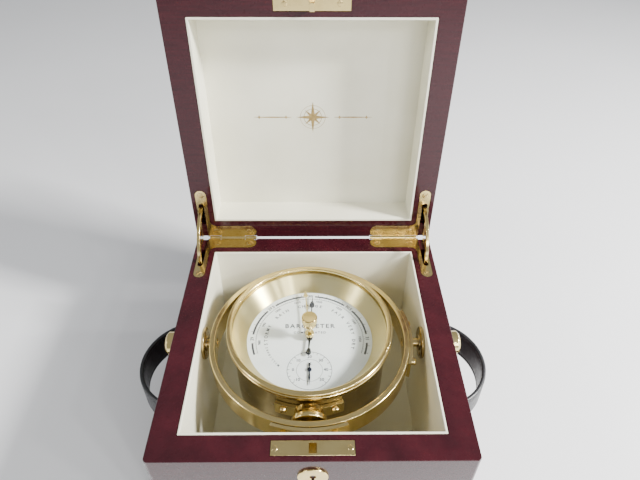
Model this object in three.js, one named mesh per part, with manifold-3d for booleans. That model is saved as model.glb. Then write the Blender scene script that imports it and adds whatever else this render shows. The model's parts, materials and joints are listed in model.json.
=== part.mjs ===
// Gimballed marine barometer in a lacquered, hinged wooden case.
// Millimetres, +Z up. Origin: centre of the felt's underside. The hinged side is +Y, the front is -Y.

import * as THREE from 'three';
import { mergeVertices } from 'three/addons/utils/BufferGeometryUtils.js';
import Module from 'manifold-3d';

const wasm = await Module();
wasm.setup();

// ---------- driving dimensions ----------

const GAP = 0.3; // assembly gap between neighbouring pieces
const TOUCH = 0.1; // gap under a piece screwed flat to the case or the ring
const OVER = 1; // how far a cutting tool passes the surface that it opens

// case
const CASE = 190; // outside width and depth
const HALF = CASE / 2;
const WALL = 16;
const FELT = 1.5;
const FELT_INSET = 1;
const FLOOR = 10;
const RIM = 108; // height of the base's rim above the felt's underside
const INNER = HALF - WALL; // half the width between the base's walls
const LINER = 1.5;

// lid
const RIM_GAP = 0.7; // between the two rims when shut
const LID_WALL = 25.3;
const LID_TOP = 8.7;
const OPEN_DEG = 92;

// hinge pin, behind and between the rims
const PIN_Y = HALF + 0.6;
const PIN_Z = RIM + 0.4;
const PIN_RADIUS = 0.75;
const KNUCKLE_RADIUS = 1.6;
const KNUCKLE_BORE = 1.0;
const KNUCKLES = [46.5, 55.7, 75.6, 84.7]; // the ends of the three knuckles, from the middle of the case

// hinge leaf, an L let into each rim
const LEAF_THICK = 1.2;
const LEAF_OUTER = HALF - 3.5;
const LEAF_INNER = HALF - 12;
const LEAF_FRONT = 50;
const LEAF_BACK = HALF - 0.2;
const LEAF_ARM = 84; // front edge of the arm along the back
const STAY_SLOT = [86, 90]; // the slot in the side arm, from the middle of the case
const STAY_SLOT_FRONT = 62;

// quadrant stay, an arc about the hinge pin
const STAY_INNER = 27.4;
const STAY_OUTER = 30.6;
const STAY_THICK = 2.2;
const STAY_TAIL_DEG = 13; // how far each end reaches past its rim
const STAY_POCKET_DEPTH = 28;
const STAY_POCKET_BACK = 83;

// gimbals: the ring turns about X in the case, the bowl about Y in the ring
const PIVOT_Z = RIM - 15.8;
const GIMBAL_X = -2.4; // the ring sits this far to the left, within its end play
const RING_INNER = 65.5;
const RING_OUTER = 69.5;
const RING_HALF_HEIGHT = 8.3;
const STRIP_THICK = 2.2;
const STRIP_HALF_HEIGHT = 7.4;
const STRIP_HALF_DEG = 19.5;
const CASE_PIVOT_RADIUS = 3;
const CASE_PIVOT_INSET = 0.5; // from the ring's inner face, and from the case's side
const RING_PIVOT_RADIUS = 2.4;
const RUNNING_GAP = 0.4;
const BUSH_FLANGE_RADIUS = 11.3;
const BUSH_FLANGE_THICK = 3;
const BUSH_SLEEVE_RADIUS = 6.5;
const CAP_RADIUS = 9;
const CAP_PROUD = 8;
const CAP_CHAMFER = [2.5, 1.2]; // across the top's edge, in two steps down the side
const CAP_SLOT = [1.6, 1.6]; // depth, width
const RING_PIVOT_HEAD_RADIUS = 4.2;
const RING_PIVOT_HEAD_THICK = 1.6;
const RING_PIVOT_START = 57.5; // the pin's inner end, from the middle of the bowl

// bowl, heights from the gimbal axes
const BOWL_OUTER = 53;
const BOWL_SKIN = 1.2;
const BOWL_BOTTOM = -42;
const BOWL_BASE_THICK = 6;
const BOWL_EDGE = 6; // rounding at the foot of the bowl
const BEZEL_OUTER = 56.6;
const BEZEL_LIP = 52.9;
const BEZEL_TOP = 21.2;
const BEZEL_BOTTOM = 15.6;
const BEZEL_ROUNDING = 1.4;
const GLASS_TOP = 19;
const GLASS_THICK = 2.4;
const GLASS_RADIUS = 54.6;
const GLASS_BORE = 1.7;
const DIAL_TOP = 4.6;
const DIAL_RADIUS = 46.5;
const DIAL_THICK = 0.8;
const DIAL_BORE = 2;
const DIAL_OPENING = 43.6;
const CONE_SKIN = 0.9;
const THERMOMETER_Y = -26.5;
const THERMOMETER_BORE = 1.2;
const SADDLE_HALF_DEG = 23.5;
const SADDLE_THICK = 2.3;
const SADDLE_HALF_HEIGHT = 5;
const BOSS_RADIUS = 11.8;
const BOSS_NECK_RADIUS = 9.5;
const BOSS_REACH = [4.5, 7.5, 10.6]; // outwards from the saddle's inner face: neck, cone, end

// movement, heights from the gimbal axes
const PLATE_RADIUS = 44;
const PLATE_THICK = 2;
const PILLAR_RADIUS = 2.5;
const PILLAR_CIRCLE = 38;
const PILLAR_DEGS = [30, 150, 270];
const CAPSULE_RADIUS = 25;
const CAPSULE_MIDDLE = 6.5; // above its foot
const CAPSULE_STUD_RADIUS = 4;
const CAPSULE_RIDGES = 3;
const CAPSULE_WAVE = [2.4, 3.1]; // troughs and ridges, from the capsule's middle
const SPRING_THICK = 1.4;
const SPRING_BEND = 7.5;
const SPRING_BEND_Y = 29;
const SPRING_HALF_WIDTH = 6;
const COIL_TURNS = 3;
const COIL_RADII = [2.4, 9];
const COIL_STRIP = 0.5;
const COIL_Z = [-6, -2];
const LEVER_Z = -10;
const LEVER_Y = -8;
const LEVER_HALF_LENGTH = 16;
const LEVER_SHAFT_RADIUS = 1;
const LEVER_HALF_THICK = 0.8;
const LEVER_ARM = [[6, 8], 20]; // X, reach in Y
const LEVER_TOE = [[-9, -7], 10];

// pointers, heights from the gimbal axes
const KNOB_TOP = 27.8;
const KNOB_RADIUS = 5.35;
const KNOB_NECK_RADIUS = 4.4;
const KNOB_NECK_HEIGHT = 3;
const KNOB_STEM_RADIUS = 1.2;
const SET_HAND_Z = 9.2;
const SET_HAND_LENGTH = 41.5;
const SET_HAND_DEG = 5;
const SET_HAND_OUTLINE = [[0.55, -3], [0.5, 33.5], [1.5, 35.5], [0.05, SET_HAND_LENGTH]]; // half width, Y
const SET_HUB_RADIUS = 3.1;
const SET_HUB_HEIGHT = 2.4;
const PRESSURE_HAND_Z = 7;
const PRESSURE_HAND_LENGTH = 39.5;
const PRESSURE_HAND_DEG = -3;
const PRESSURE_HAND_OUTLINE = [
  [0.5, -17],
  [1.5, -14.5],
  [1.4, -12.5],
  [0.6, -10.5],
  [0.7, 0],
  [0.5, 24],
  [1.7, 27.5],
  [1.2, 31],
  [0.35, 33.5],
  [0.05, PRESSURE_HAND_LENGTH],
];
const PRESSURE_HUB_RADIUS = 2.4;
const ARBOR_RADIUS = 0.8;
const ARBOR_FOOT = -15;
const DRUM_RADIUS = 2.8;
const DRUM_Z = [-6.5, -3.5];
const HAND_THICK = 0.6;
const THERMOMETER_HAND_LENGTH = 12;
const THERMOMETER_HAND_OUTLINE = [[0.6, -5], [0.35, -2], [0.4, 2], [0.7, 7], [0.05, THERMOMETER_HAND_LENGTH]];
const THERMOMETER_HUB_RADIUS = 1.5;
const THERMOMETER_ARBOR_RADIUS = 0.6;
const THERMOMETER_ARBOR_FOOT = -7;

// carrying handles, a strap bent to a D on each side
const STRAP_THICK = 3.2;
const STRAP_WIDTH = 24;
const STRAP_Z = RIM - 49;
const STRAP_REACH = 31.5; // from the case's side to the outside of the bend
const STRAP_RADIUS = 38.7;
const STRAP_FOOT_RADIUS = 6.6;
const STRAP_FOOT_END = 60;
const HANDLE_PLATE = [42.5, 61, 13.5, 2]; // nearest and furthest Y, half height, thickness
const HANDLE_PLATE_CORNER = 3;

// box lock in the front wall
const LOCK_Y = -HALF + 8;
const LOCK_HALF_WIDTH = 20;
const LOCK_PLATE_HALF_WIDTH = 24;
const LOCK_HALF_DEPTH = 4.5;
const LOCK_CASE_DEPTH = 22;
const LOCK_PLATE_THICK = 1.4;
const BOLT_X = [-14, -2.6];
const BOLT_HALF_DEPTH = 1.4;
const BOLT_DEPTH = [6.2, 3.1]; // below the rim
const LOCK_HOLLOW_HALF_DEPTH = 3.2;
const LOCK_HOLLOW_X = [-15, 6];
const LOCK_HOLLOW_DEPTH = 9.5;
const LOCK_MOUTH_HALF_WIDTH = 2.3;
const TONGUE_HALF_WIDTH = 1.5;
const TONGUE_HALF_DEPTH = 2.6;
const TONGUE_REACH = 8; // below the rim
const TONGUE_EYE_HALF_DEPTH = 1.8;
const ESCUTCHEON_RADIUS = 9;
const ESCUTCHEON_THICK = 1.4;
const ESCUTCHEON_Z = RIM - 17;
const KEYHOLE_RADIUS = 1.9;
const KEYHOLE_RISE = 1.5;
const KEY_SLIT_HALF_WIDTH = 0.9;
const KEY_SLIT_DROP = 4.5;

const COLOURS = {
  lacquer: [0x4a1418, 0.15, 0],
  felt: [0x24402c, 0.95, 0],
  lining: [0xd9d3bd, 0.8, 0],
  brass: [0xc9a24e, 0.25, 1],
  brushedBrass: [0xd6b469, 0.4, 1],
  glass: [0xf2f6f4, 0.05, 0],
  dial: [0xeef0ec, 0.5, 0],
  leather: [0x17171a, 0.55, 0],
  blued: [0x151a2c, 0.3, 1],
  steel: [0x9a9a98, 0.35, 1],
};

// ---------- solids ----------

function toSolid(geometry) {
  const bare = geometry.clone();
  bare.deleteAttribute('normal');
  bare.deleteAttribute('uv');
  const merged = mergeVertices(bare, 1e-4);
  const corners = merged.index.array;
  const kept = [];
  for (let i = 0; i < corners.length; i += 3) {
    const [a, b, c] = [corners[i], corners[i + 1], corners[i + 2]];
    if (a !== b && b !== c && c !== a) kept.push(a, b, c);
  }
  return new wasm.Manifold(new wasm.Mesh({
    numProp: 3,
    vertProperties: new Float32Array(merged.attributes.position.array),
    triVerts: new Uint32Array(kept),
  }));
}

function toGeometry(solid) {
  const mesh = solid.getMesh();
  const geometry = new THREE.BufferGeometry();
  geometry.setAttribute('position', new THREE.BufferAttribute(mesh.vertProperties, 3));
  geometry.setIndex(new THREE.BufferAttribute(mesh.triVerts, 1));
  geometry.computeVertexNormals();
  return geometry;
}

function join(...geometries) {
  return toGeometry(geometries.map(toSolid).reduce((whole, piece) => whole.add(piece)));
}

function cut(geometry, ...tools) {
  return toGeometry(tools.map(toSolid).reduce((whole, tool) => whole.subtract(tool), toSolid(geometry)));
}

function block(x, y, z) {
  const [width, depth, height] = [x, y, z].map(([low, high]) => high - low);
  const [cx, cy, cz] = [x, y, z].map(([low, high]) => (low + high) / 2);
  return new THREE.BoxGeometry(width, depth, height).translate(cx, cy, cz);
}

// A span of distances from the middle plane, on the side given by its sign.
function onSide(side, near, far) {
  return side > 0 ? [near, far] : [-far, -near];
}

// A profile of [radius, height] pairs turned about Z. It runs anticlockwise, outer side upwards.
function turned(profile, segments = 40) {
  const points = profile.map(([radius, height]) => new THREE.Vector2(radius, height));
  return new THREE.LatheGeometry(points, segments).rotateX(Math.PI / 2);
}

function ringProfile(inner, outer, low, high) {
  return [[inner, low], [outer, low], [outer, high], [inner, high], [inner, low]];
}

function discProfile(radius, low, high) {
  return [[0, low], [radius, low], [radius, high], [0, high]];
}

// A rod along X or Y, between two places on that axis.
function rodX(radius, [from, to], y, z, segments = 24) {
  const rod = new THREE.CylinderGeometry(radius, radius, to - from, segments);
  return rod.rotateZ(-Math.PI / 2).translate((from + to) / 2, y, z);
}

function rodY(radius, [from, to], x, z, segments = 24) {
  return new THREE.CylinderGeometry(radius, radius, to - from, segments).translate(x, (from + to) / 2, z);
}

function arcPoints(cx, cy, radius, fromDeg, toDeg, steps) {
  const points = [];
  for (let i = 0; i <= steps; i += 1) {
    const angle = THREE.MathUtils.degToRad(fromDeg + ((toDeg - fromDeg) * i) / steps);
    points.push([cx + radius * Math.cos(angle), cy + radius * Math.sin(angle)]);
  }
  return points;
}

// An outline of [x, y] pairs, raised between two heights.
function prism(points, low, high) {
  const outline = new THREE.Shape(points.map(([x, y]) => new THREE.Vector2(x, y)));
  const raised = new THREE.ExtrudeGeometry(outline, { depth: high - low, bevelEnabled: false });
  return raised.translate(0, 0, low);
}

// An outline of [y, z] pairs, drawn out along X.
function prismX(points, [from, to]) {
  const turn = new THREE.Matrix4().makeBasis(
    new THREE.Vector3(0, 1, 0),
    new THREE.Vector3(0, 0, 1),
    new THREE.Vector3(1, 0, 0),
  );
  return prism(points, from, to).applyMatrix4(turn);
}

// A band between two radii about Z, over an angle either side of a direction.
function sector(inner, outer, middleDeg, halfDeg, low, high) {
  const steps = 12;
  const outside = arcPoints(0, 0, outer, middleDeg - halfDeg, middleDeg + halfDeg, steps);
  const inside = arcPoints(0, 0, inner, middleDeg + halfDeg, middleDeg - halfDeg, steps);
  return prism([...outside, ...inside], low, high);
}

function place(group, name, geometry, [color, roughness, metalness]) {
  const mesh = new THREE.Mesh(geometry, new THREE.MeshStandardMaterial({ color, roughness, metalness }));
  mesh.name = name;
  group.add(mesh);
}

const SIDES = [['left', -1], ['right', 1]];
const ENDS = [['front', -1], ['back', 1]];

// ---------- hinges and stays ----------

// The leaf's outline, with a margin all round where it is the outline of its recess.
function leafOutline(side, margin) {
  const endRadius = (LEAF_OUTER - LEAF_INNER) / 2;
  const tipRadius = (LEAF_BACK - LEAF_ARM) / 2;
  const sideMiddle = (LEAF_OUTER + LEAF_INNER) / 2;
  const armMiddle = (LEAF_BACK + LEAF_ARM) / 2;
  const back = margin ? HALF + OVER : LEAF_BACK;
  const points = [
    [LEAF_OUTER + margin, back],
    ...arcPoints(sideMiddle, LEAF_FRONT + endRadius, endRadius + margin, 0, -180, 8),
    [LEAF_INNER - margin, LEAF_ARM - margin],
    ...arcPoints(KNUCKLES[0] + tipRadius, armMiddle, tipRadius + margin, -90, -270, 8),
    [KNUCKLES[0] + tipRadius, back],
  ];
  const distinct = margin ? points : points.slice(0, -1);
  return distinct.map(([x, y]) => [side * x, y]);
}

function knuckle(side, index, radius, margin) {
  const span = onSide(side, KNUCKLES[index] - margin, KNUCKLES[index + 1] + margin);
  return rodX(radius, span, PIN_Y, PIN_Z, 12);
}

function staySlot(side) {
  const through = [RIM - LEAF_THICK - OVER, RIM + RIM_GAP + LEAF_THICK + OVER];
  return block(onSide(side, ...STAY_SLOT), [STAY_SLOT_FRONT, HALF + OVER], through);
}

function baseLeaf(side) {
  const margin = GAP / 2;
  const whole = join(
    prism(leafOutline(side, 0), RIM - LEAF_THICK, RIM),
    knuckle(side, 0, KNUCKLE_RADIUS, 0),
    knuckle(side, 2, KNUCKLE_RADIUS, 0),
  );
  const clearance = knuckle(side, 1, KNUCKLE_RADIUS + GAP, margin);
  const bore = rodX(KNUCKLE_BORE, onSide(side, KNUCKLES[0] - OVER, KNUCKLES[3] + OVER), PIN_Y, PIN_Z, 12);
  return cut(whole, staySlot(side), clearance, bore);
}

function lidLeaf(side) {
  const margin = GAP / 2;
  const low = RIM + RIM_GAP;
  const whole = join(
    prism(leafOutline(side, 0), low, low + LEAF_THICK),
    knuckle(side, 1, KNUCKLE_RADIUS, -margin),
  );
  const bore = rodX(KNUCKLE_BORE, onSide(side, KNUCKLES[0] - OVER, KNUCKLES[3] + OVER), PIN_Y, PIN_Z, 12);
  return cut(
    whole,
    staySlot(side),
    knuckle(side, 0, KNUCKLE_RADIUS + GAP, margin),
    knuckle(side, 2, KNUCKLE_RADIUS + GAP, margin),
    bore,
  );
}

// The recess in the two rims that a hinge takes: leaf, barrel groove and stay pocket.
function hingeRecess(side, low, high) {
  return [
    prism(leafOutline(side, GAP), low, high),
    rodX(KNUCKLE_RADIUS + 2 * GAP, onSide(side, KNUCKLES[0] - GAP, KNUCKLES[3] + GAP), PIN_Y, PIN_Z, 16),
  ];
}

function stayPocket(side, low, high) {
  const span = onSide(side, STAY_SLOT[0] + TOUCH, STAY_SLOT[1] - TOUCH);
  return block(span, [PIN_Y - STAY_OUTER - OVER, STAY_POCKET_BACK], [low, high]);
}

// The stay as it stands with the lid open, centred between the two rims.
function stay(side) {
  const from = 180 + STAY_TAIL_DEG;
  const to = 180 - OPEN_DEG - STAY_TAIL_DEG;
  const outline = [
    ...arcPoints(PIN_Y, PIN_Z, STAY_OUTER, from, to, 24),
    ...arcPoints(PIN_Y, PIN_Z, STAY_INNER, to, from, 24),
  ];
  const middle = (STAY_SLOT[0] + STAY_SLOT[1]) / 2;
  return prismX(outline, onSide(side, middle - STAY_THICK / 2, middle + STAY_THICK / 2));
}

// ---------- base of the case ----------

function lockMortise() {
  const x = [-LOCK_HALF_WIDTH - GAP, LOCK_HALF_WIDTH + GAP];
  const y = [LOCK_Y - LOCK_HALF_DEPTH - GAP, LOCK_Y + LOCK_HALF_DEPTH + GAP];
  const plateX = [-LOCK_PLATE_HALF_WIDTH - GAP, LOCK_PLATE_HALF_WIDTH + GAP];
  return [
    block(x, y, [RIM - LOCK_CASE_DEPTH - GAP, RIM + OVER]),
    block(plateX, y, [RIM - LOCK_PLATE_THICK - GAP, RIM + OVER]),
  ];
}

function sideWall(side) {
  const wall = block(onSide(side, INNER, HALF), [-HALF, HALF], [FELT + GAP, RIM]);
  return cut(
    wall,
    ...hingeRecess(side, RIM - LEAF_THICK - GAP, RIM + OVER),
    stayPocket(side, RIM - STAY_POCKET_DEPTH, RIM + OVER),
    rodX(BUSH_SLEEVE_RADIUS + GAP, onSide(side, INNER - OVER, HALF + OVER), 0, PIVOT_Z),
  );
}

function backWall() {
  const wall = block([GAP - INNER, INNER - GAP], [INNER, HALF], [FELT + GAP, RIM]);
  const recesses = SIDES.flatMap(([, side]) => hingeRecess(side, RIM - LEAF_THICK - GAP, RIM + OVER));
  return cut(wall, ...recesses);
}

function frontWall() {
  const wall = block([GAP - INNER, INNER - GAP], [-HALF, -INNER], [FELT + GAP, RIM]);
  return cut(wall, ...lockMortise());
}

function wellLiner() {
  const outer = INNER - GAP;
  const inner = outer - LINER;
  const low = FELT + GAP + FLOOR + GAP;
  const bores = SIDES.map(([, side]) => (
    rodX(BUSH_SLEEVE_RADIUS + GAP, onSide(side, inner - OVER, outer + OVER), 0, PIVOT_Z)
  ));
  const tray = block([-outer, outer], [-outer, outer], [low, RIM]);
  const hollow = block([-inner, inner], [-inner, inner], [low + LINER, RIM + OVER]);
  return cut(tray, hollow, ...bores);
}

function buildBase(group) {
  const inside = INNER - GAP;
  const floorLow = FELT + GAP;
  const felt = [FELT_INSET - HALF, HALF - FELT_INSET];
  place(group, 'base_felt', block(felt, felt, [0, FELT]), COLOURS.felt);
  const floor = block([-inside, inside], [-inside, inside], [floorLow, floorLow + FLOOR]);
  place(group, 'base_floor', floor, COLOURS.lacquer);
  place(group, 'base_wall_front', frontWall(), COLOURS.lacquer);
  place(group, 'base_wall_back', backWall(), COLOURS.lacquer);
  place(group, 'well_liner', wellLiner(), COLOURS.lining);
  for (const [name, side] of SIDES) {
    place(group, `base_wall_${name}`, sideWall(side), COLOURS.lacquer);
    place(group, `hinge_leaf_base_${name}`, baseLeaf(side), COLOURS.brass);
    const pin = rodX(PIN_RADIUS, onSide(side, KNUCKLES[0], KNUCKLES[3]), PIN_Y, PIN_Z, 12);
    place(group, `hinge_pin_${name}`, pin, COLOURS.brass);
  }
}

// ---------- lid, drawn shut ----------

function lidFrontWall(low, high) {
  const y = [LOCK_Y - LOCK_HALF_DEPTH - GAP, LOCK_Y + LOCK_HALF_DEPTH + GAP];
  const recess = block([-LOCK_PLATE_HALF_WIDTH - GAP, LOCK_PLATE_HALF_WIDTH + GAP], y,
    [low - OVER, low + LOCK_PLATE_THICK + GAP]);
  return cut(block([GAP - INNER, INNER - GAP], [-HALF, -INNER], [low, high]), recess);
}

function lidSideWall(side, low, high) {
  return cut(
    block(onSide(side, INNER, HALF), [-HALF, HALF], [low, high]),
    ...hingeRecess(side, low - OVER, low + LEAF_THICK + GAP),
    stayPocket(side, low - OVER, high + OVER),
  );
}

function lidBackWall(low, high) {
  const recesses = SIDES.flatMap(([, side]) => hingeRecess(side, low - OVER, low + LEAF_THICK + GAP));
  return cut(block([GAP - INNER, INNER - GAP], [INNER, HALF], [low, high]), ...recesses);
}

function lidTop(low, high) {
  const pocketTop = RIM + STAY_POCKET_DEPTH + RIM_GAP;
  const pockets = SIDES.map(([, side]) => stayPocket(side, low - OVER, pocketTop));
  return cut(block([-HALF, HALF], [-HALF, HALF], [low, high]), ...pockets);
}

function lidLiner(low, high) {
  const outer = INNER - GAP;
  const inner = outer - LINER;
  const hollow = block([-inner, inner], [-inner, inner], [low - OVER, high - LINER]);
  return cut(block([-outer, outer], [-outer, outer], [low, high]), hollow);
}

function lockStrike(low) {
  const plate = block([-LOCK_PLATE_HALF_WIDTH, LOCK_PLATE_HALF_WIDTH],
    [LOCK_Y - LOCK_HALF_DEPTH, LOCK_Y + LOCK_HALF_DEPTH], [low, low + LOCK_PLATE_THICK]);
  const tongue = block(
    [-TONGUE_HALF_WIDTH, TONGUE_HALF_WIDTH],
    [LOCK_Y - TONGUE_HALF_DEPTH, LOCK_Y + TONGUE_HALF_DEPTH],
    [RIM - TONGUE_REACH, low + LOCK_PLATE_THICK / 2],
  );
  const eye = block(
    [-TONGUE_HALF_WIDTH - OVER, TONGUE_HALF_WIDTH + OVER],
    [LOCK_Y - TONGUE_EYE_HALF_DEPTH, LOCK_Y + TONGUE_EYE_HALF_DEPTH],
    [RIM - BOLT_DEPTH[0] - GAP, RIM - BOLT_DEPTH[1] + GAP],
  );
  return cut(join(plate, tongue), eye);
}

function buildLid(group) {
  const low = RIM + RIM_GAP;
  const high = low + LID_WALL;
  place(group, 'lid_wall_front', lidFrontWall(low, high), COLOURS.lacquer);
  place(group, 'lid_wall_back', lidBackWall(low, high), COLOURS.lacquer);
  place(group, 'lid_top', lidTop(high + GAP, high + GAP + LID_TOP), COLOURS.lacquer);
  place(group, 'lid_liner', lidLiner(low, high), COLOURS.lining);
  place(group, 'lock_strike', lockStrike(low), COLOURS.brass);
  for (const [name, side] of SIDES) {
    place(group, `lid_wall_${name}`, lidSideWall(side, low, high), COLOURS.lacquer);
    place(group, `hinge_leaf_lid_${name}`, lidLeaf(side), COLOURS.brass);
  }
}

// ---------- lock ----------

function lockCase() {
  const y = [LOCK_Y - LOCK_HALF_DEPTH, LOCK_Y + LOCK_HALF_DEPTH];
  const body = block([-LOCK_HALF_WIDTH, LOCK_HALF_WIDTH], y, [RIM - LOCK_CASE_DEPTH, RIM]);
  const plateX = [-LOCK_PLATE_HALF_WIDTH, LOCK_PLATE_HALF_WIDTH];
  const plate = block(plateX, y, [RIM - LOCK_PLATE_THICK, RIM]);
  const inside = [LOCK_Y - LOCK_HOLLOW_HALF_DEPTH, LOCK_Y + LOCK_HOLLOW_HALF_DEPTH];
  const hollow = block(LOCK_HOLLOW_X, inside, [RIM - LOCK_HOLLOW_DEPTH, RIM - LOCK_PLATE_THICK - GAP]);
  const mouthX = [-LOCK_MOUTH_HALF_WIDTH, LOCK_MOUTH_HALF_WIDTH];
  const mouth = block(mouthX, inside, [RIM - LOCK_HOLLOW_DEPTH + OVER, RIM + OVER]);
  return cut(join(body, plate), hollow, mouth);
}

function escutcheon() {
  const back = -HALF - TOUCH;
  const through = [back - ESCUTCHEON_THICK - OVER, back + OVER];
  const disc = rodY(ESCUTCHEON_RADIUS, [back - ESCUTCHEON_THICK, back], 0, ESCUTCHEON_Z, 32);
  const keyhole = rodY(KEYHOLE_RADIUS, through, 0, ESCUTCHEON_Z + KEYHOLE_RISE, 16);
  const slitX = [-KEY_SLIT_HALF_WIDTH, KEY_SLIT_HALF_WIDTH];
  const slit = block(slitX, through, [ESCUTCHEON_Z - KEY_SLIT_DROP, ESCUTCHEON_Z + KEYHOLE_RISE]);
  return cut(disc, keyhole, slit);
}

function buildLock(group) {
  place(group, 'lock_case', lockCase(), COLOURS.brass);
  place(group, 'lock_escutcheon', escutcheon(), COLOURS.brass);
  const y = [LOCK_Y - BOLT_HALF_DEPTH, LOCK_Y + BOLT_HALF_DEPTH];
  place(group, 'lock_bolt', block(BOLT_X, y, BOLT_DEPTH.map((depth) => RIM - depth)), COLOURS.steel);
}

// ---------- carrying handles ----------

// The strap's middle line from one foot to the other, on the +X side.
function strapMiddle() {
  const radius = STRAP_RADIUS - STRAP_THICK / 2;
  const centreX = HALF + STRAP_REACH - STRAP_RADIUS;
  const footX = HALF + GAP + STRAP_THICK / 2;
  const filletX = footX + STRAP_FOOT_RADIUS;
  const filletY = Math.sqrt((radius + STRAP_FOOT_RADIUS) ** 2 - (filletX - centreX) ** 2);
  const meetDeg = THREE.MathUtils.radToDeg(Math.atan2(filletY, filletX - centreX));
  return [
    [footX, STRAP_FOOT_END],
    ...arcPoints(filletX, filletY, STRAP_FOOT_RADIUS, 180, 180 + meetDeg, 6),
    ...arcPoints(centreX, 0, radius, meetDeg, -meetDeg, 22).slice(1, -1),
    ...arcPoints(filletX, -filletY, STRAP_FOOT_RADIUS, 180 - meetDeg, 180, 6),
    [footX, -STRAP_FOOT_END],
  ];
}

function strap(side) {
  const middle = strapMiddle();
  const offset = (sign) => middle.map(([x, y], i) => {
    const [x0, y0] = middle[Math.max(i - 1, 0)];
    const [x1, y1] = middle[Math.min(i + 1, middle.length - 1)];
    const length = Math.hypot(x1 - x0, y1 - y0);
    const shift = (sign * STRAP_THICK) / 2 / length;
    return [side * (x - (y1 - y0) * shift), y + (x1 - x0) * shift];
  });
  const outline = [...offset(1), ...offset(-1).reverse()];
  return prism(outline, STRAP_Z - STRAP_WIDTH / 2, STRAP_Z + STRAP_WIDTH / 2);
}

function handlePlate(side, end) {
  const [near, far, halfHeight, thick] = HANDLE_PLATE;
  const foot = HALF + 2 * GAP + STRAP_THICK;
  const radius = HANDLE_PLATE_CORNER;
  const corners = [
    ...arcPoints(near + radius, radius - halfHeight, radius, 180, 270, 4),
    ...arcPoints(far - radius, radius - halfHeight, radius, 270, 360, 4),
    ...arcPoints(far - radius, halfHeight - radius, radius, 0, 90, 4),
    ...arcPoints(near + radius, halfHeight - radius, radius, 90, 180, 4),
  ];
  const outline = corners.map(([y, z]) => [end * y, z + STRAP_Z]);
  return prismX(outline, onSide(side, foot, foot + thick));
}

function buildHandles(group) {
  for (const [name, side] of SIDES) {
    place(group, `handle_strap_${name}`, strap(side), COLOURS.leather);
    for (const [where, end] of ENDS) {
      place(group, `handle_plate_${name}_${where}`, handlePlate(side, end), COLOURS.brass);
    }
  }
}

// ---------- gimbals, about their centre ----------

// A profile of [radius, distance from the centre] turned about the X axis, on one side.
function turnedOutwards(side, profile, segments) {
  return turned(profile, segments).rotateY((side * Math.PI) / 2);
}

function pivotBush(side) {
  const face = INNER - GAP - LINER - GAP;
  const bore = CASE_PIVOT_RADIUS + RUNNING_GAP;
  return turnedOutwards(side, [
    [bore, face - BUSH_FLANGE_THICK],
    [BUSH_FLANGE_RADIUS, face - BUSH_FLANGE_THICK],
    [BUSH_FLANGE_RADIUS, face],
    [BUSH_SLEEVE_RADIUS, face],
    [BUSH_SLEEVE_RADIUS, HALF - GAP],
    [bore, HALF - GAP],
    [bore, face - BUSH_FLANGE_THICK],
  ], 24);
}

function pivotCap(side) {
  const base = HALF + TOUCH;
  const top = HALF + CAP_PROUD;
  const [wide, narrow] = CAP_CHAMFER;
  const cap = turnedOutwards(side, [
    [0, base],
    [CAP_RADIUS, base],
    [CAP_RADIUS, top - wide],
    [CAP_RADIUS - narrow / 2, top - narrow],
    [CAP_RADIUS - wide, top],
    [0, top],
  ], 32);
  const [slotDepth, slotWidth] = CAP_SLOT;
  const across = [-CAP_RADIUS - OVER, CAP_RADIUS + OVER];
  return cut(cap, block(onSide(side, top - slotDepth, top + OVER), across, [-slotWidth / 2, slotWidth / 2]));
}

function buildCasePivots(group) {
  for (const [name, side] of SIDES) {
    const reach = [RING_INNER + CASE_PIVOT_INSET + side * GIMBAL_X, HALF - CASE_PIVOT_INSET];
    place(group, `pivot_bush_${name}`, pivotBush(side), COLOURS.brass);
    place(group, `pivot_cap_${name}`, pivotCap(side), COLOURS.brass);
    const pin = rodX(CASE_PIVOT_RADIUS, onSide(side, ...reach), 0, 0);
    place(group, `pivot_pin_${name}`, pin, COLOURS.steel);
  }
}

function gimbalRing() {
  const band = turned(ringProfile(RING_INNER, RING_OUTER, -RING_HALF_HEIGHT, RING_HALF_HEIGHT), 48);
  const reach = [-RING_OUTER - OVER, RING_OUTER + OVER];
  return cut(
    band,
    rodX(CASE_PIVOT_RADIUS + RUNNING_GAP, reach, 0, 0),
    rodY(RING_PIVOT_RADIUS + GAP, reach, 0, 0),
  );
}

function ringStrip(middleDeg, boreRadius) {
  const inner = RING_OUTER + GAP;
  const outer = inner + STRIP_THICK;
  const strip = sector(inner, outer, 0, STRIP_HALF_DEG, -STRIP_HALF_HEIGHT, STRIP_HALF_HEIGHT);
  const bored = cut(strip, rodX(boreRadius, [RING_INNER, outer + OVER], 0, 0));
  return bored.rotateZ(THREE.MathUtils.degToRad(middleDeg));
}

// The pin that the bowl turns on: a plain shank from inside the boss, with a head outside the ring,
// or outside the strip at the front.
function ringPivot(end) {
  const shoulder = RING_OUTER + TOUCH + (end < 0 ? GAP + STRIP_THICK : 0);
  const top = shoulder + RING_PIVOT_HEAD_THICK;
  const chamfer = RING_PIVOT_HEAD_THICK / 2;
  const pin = turned([
    [0, RING_PIVOT_START],
    [RING_PIVOT_RADIUS, RING_PIVOT_START],
    [RING_PIVOT_RADIUS, shoulder],
    [RING_PIVOT_HEAD_RADIUS, shoulder],
    [RING_PIVOT_HEAD_RADIUS, top - chamfer],
    [RING_PIVOT_HEAD_RADIUS - chamfer, top],
    [0, top],
  ], 16);
  return pin.rotateX((-end * Math.PI) / 2);
}

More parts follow.
